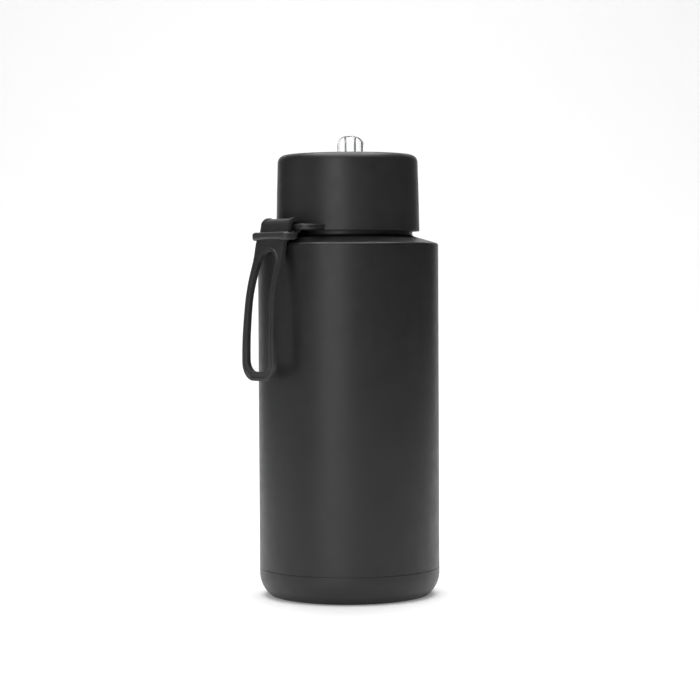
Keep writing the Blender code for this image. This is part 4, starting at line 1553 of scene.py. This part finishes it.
def arc(centre: Vector, radius: float, start: float, end: float, steps: int) -> list[Vector]:
    """Points of an arc in a plane.

    Args:
        centre: Its centre.
        radius: Its radius.
        start: Its first angle in degrees.
        end: Its last angle in degrees.
        steps: How many steps it has.

    Returns:
        steps + 1 points.
    """
    angles = [math.radians(start + (end - start) * i / steps) for i in range(steps + 1)]
    return [Vector((centre[0] + radius * math.cos(a), centre[1] + radius * math.sin(a))) for a in angles]


def at_height(rows: Sequence[Sequence[float]], height: float, column: int) -> float:
    """A value between rows that come down.

    Args:
        rows: Rows whose second number is a height.
        height: The height that is asked for.
        column: Which number of the row is wanted.

    Returns:
        The value at that height.
    """
    for above, below in zip(rows, rows[1:]):
        if above[1] >= height >= below[1] and above[1] > below[1]:
            share = (above[1] - height) / (above[1] - below[1])
            return above[column] + (below[column] - above[column]) * share
    return rows[0][column] if height > rows[0][1] else rows[-1][column]


# ---- Studio ----


@dataclass
class Studio:
    """The plain pale sweep that the bottle stands on, its soft lights and the camera."""

    azimuth: float = -37.0
    distance: float = 1.1
    camera_height: float = 162.5 * MM
    heading: float = -0.038
    pitch: float = -1.88
    roll: float = -0.3
    lens: float = 109.5

    def sweep(self) -> None:
        """A pale paper floor that curves up to a wall behind the bottle."""
        deselect()
        bearing = math.radians(self.azimuth)
        corners = [(-1.6, 0.0, 0.0), (1.5, 0.0, 0.6), (1.5, 3.0, 0.0)]
        line = rounded(corners, closed=False)
        floor = draw("pale_floor", [(-0.85, along, up) for along, up in line], closed=False)
        bpy.ops.mesh.extrude_edges_move(TRANSFORM_OT_translate={"value": (1.7, 0.0, 0.0)})
        done(floor)
        settle(floor, Matrix.Rotation(bearing, 4, "Z"))
        paper = Wiring("pale_paper")
        wash = paper.shades(paper.noise(0.6), (0.86, 0.86, 0.86), (0.88, 0.88, 0.88))
        paper.link(wash, "Base Color")
        paper.set(Roughness=0.9, Specular_IOR_Level=0.1, Emission_Strength=0.2)
        floor.data.materials.append(paper.material)

    def light(
        self, name: str, angle: float, height: float, away: float, size: tuple[float, float], power: float
    ) -> None:
        """A soft light that looks at the bottle's middle.

        Args:
            name: Its name.
            angle: Its bearing from the camera's, in degrees, to the right.
            height: Its height.
            away: Its distance from the bottle's axis.
            size: Its width and height.
            power: Its power in watts.
        """
        lamp = bpy.data.lights.new(name, "AREA")
        lamp.shape = "RECTANGLE"
        lamp.size, lamp.size_y = size
        lamp.energy = power
        bearing = math.radians(self.azimuth + angle)
        place = Vector((math.sin(bearing) * away, -math.cos(bearing) * away, height))
        holder = bpy.data.objects.new(name, lamp)
        holder.location = place
        holder.rotation_euler = (Vector((0.0, 0.0, 0.12)) - place).to_track_quat("-Z", "Y").to_euler()
        bpy.context.scene.collection.objects.link(holder)

    def lights(self) -> None:
        """The key light at the front, a fill on its side, one overhead and one on the wall."""
        self.light("key_light", -20.0, 0.42, 1.6, (0.9, 1.2), 7.4)
        self.light("fill_light", -85.0, 0.4, 1.6, (1.0, 1.2), 1.2)
        self.light("overhead_light", 0.0, 1.3, 0.15, (1.3, 1.3), 19.0)
        self.light("wall_light", 180.0, 1.9, 0.7, (1.6, 0.4), 16.0)
        self.surround()
        bpy.context.scene.view_settings.view_transform = "Standard"

    def surround(self) -> None:
        """A white surround that is seen in full but lights the bottle dimly, as black flags would."""
        world = bpy.data.worlds.new("studio")
        world.use_nodes = True
        tree = world.node_tree
        background = tree.nodes["Background"]
        background.inputs["Color"].default_value = (1.0, 1.0, 1.0, 1.0)
        path = tree.nodes.new("ShaderNodeLightPath")
        level = tree.nodes.new("ShaderNodeMapRange")
        level.inputs["To Min"].default_value = 0.05
        tree.links.new(path.outputs["Is Camera Ray"], level.inputs["Value"])
        tree.links.new(level.outputs["Result"], background.inputs["Strength"])
        bpy.context.scene.world = world

    def camera(self) -> None:
        """The camera, a little above the bottle's shoulder and looking almost level."""
        lens = bpy.data.cameras.new("camera")
        lens.lens = self.lens
        lens.sensor_width = 36.0
        holder = bpy.data.objects.new("camera", lens)
        bearing = math.radians(self.azimuth)
        place = Vector((math.sin(bearing), -math.cos(bearing), 0.0)) * self.distance
        place.z = self.camera_height
        turn = Matrix.Rotation(bearing + math.radians(self.heading), 4, "Z")
        turn = turn @ Matrix.Rotation(math.radians(90 + self.pitch), 4, "X")
        turn = turn @ Matrix.Rotation(math.radians(self.roll), 4, "Z")
        holder.matrix_world = Matrix.Translation(place) @ turn
        bpy.context.scene.collection.objects.link(holder)
        bpy.context.scene.camera = holder

    def build(self) -> None:
        """Sets up the floor, the lights and the camera."""
        self.sweep()
        self.lights()
        self.camera()
        log.info("studio set up")


def main() -> None:
    """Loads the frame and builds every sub-assembly in order."""
    logging.basicConfig(level=logging.INFO, format="%(name)s: %(message)s")
    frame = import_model()
    Bottle().build(frame["nodes"])
    Lid().build(frame["nodes"])
    Spout().build()
    Strap().build()
    Studio().build()


if __name__ == "__main__":
    main()
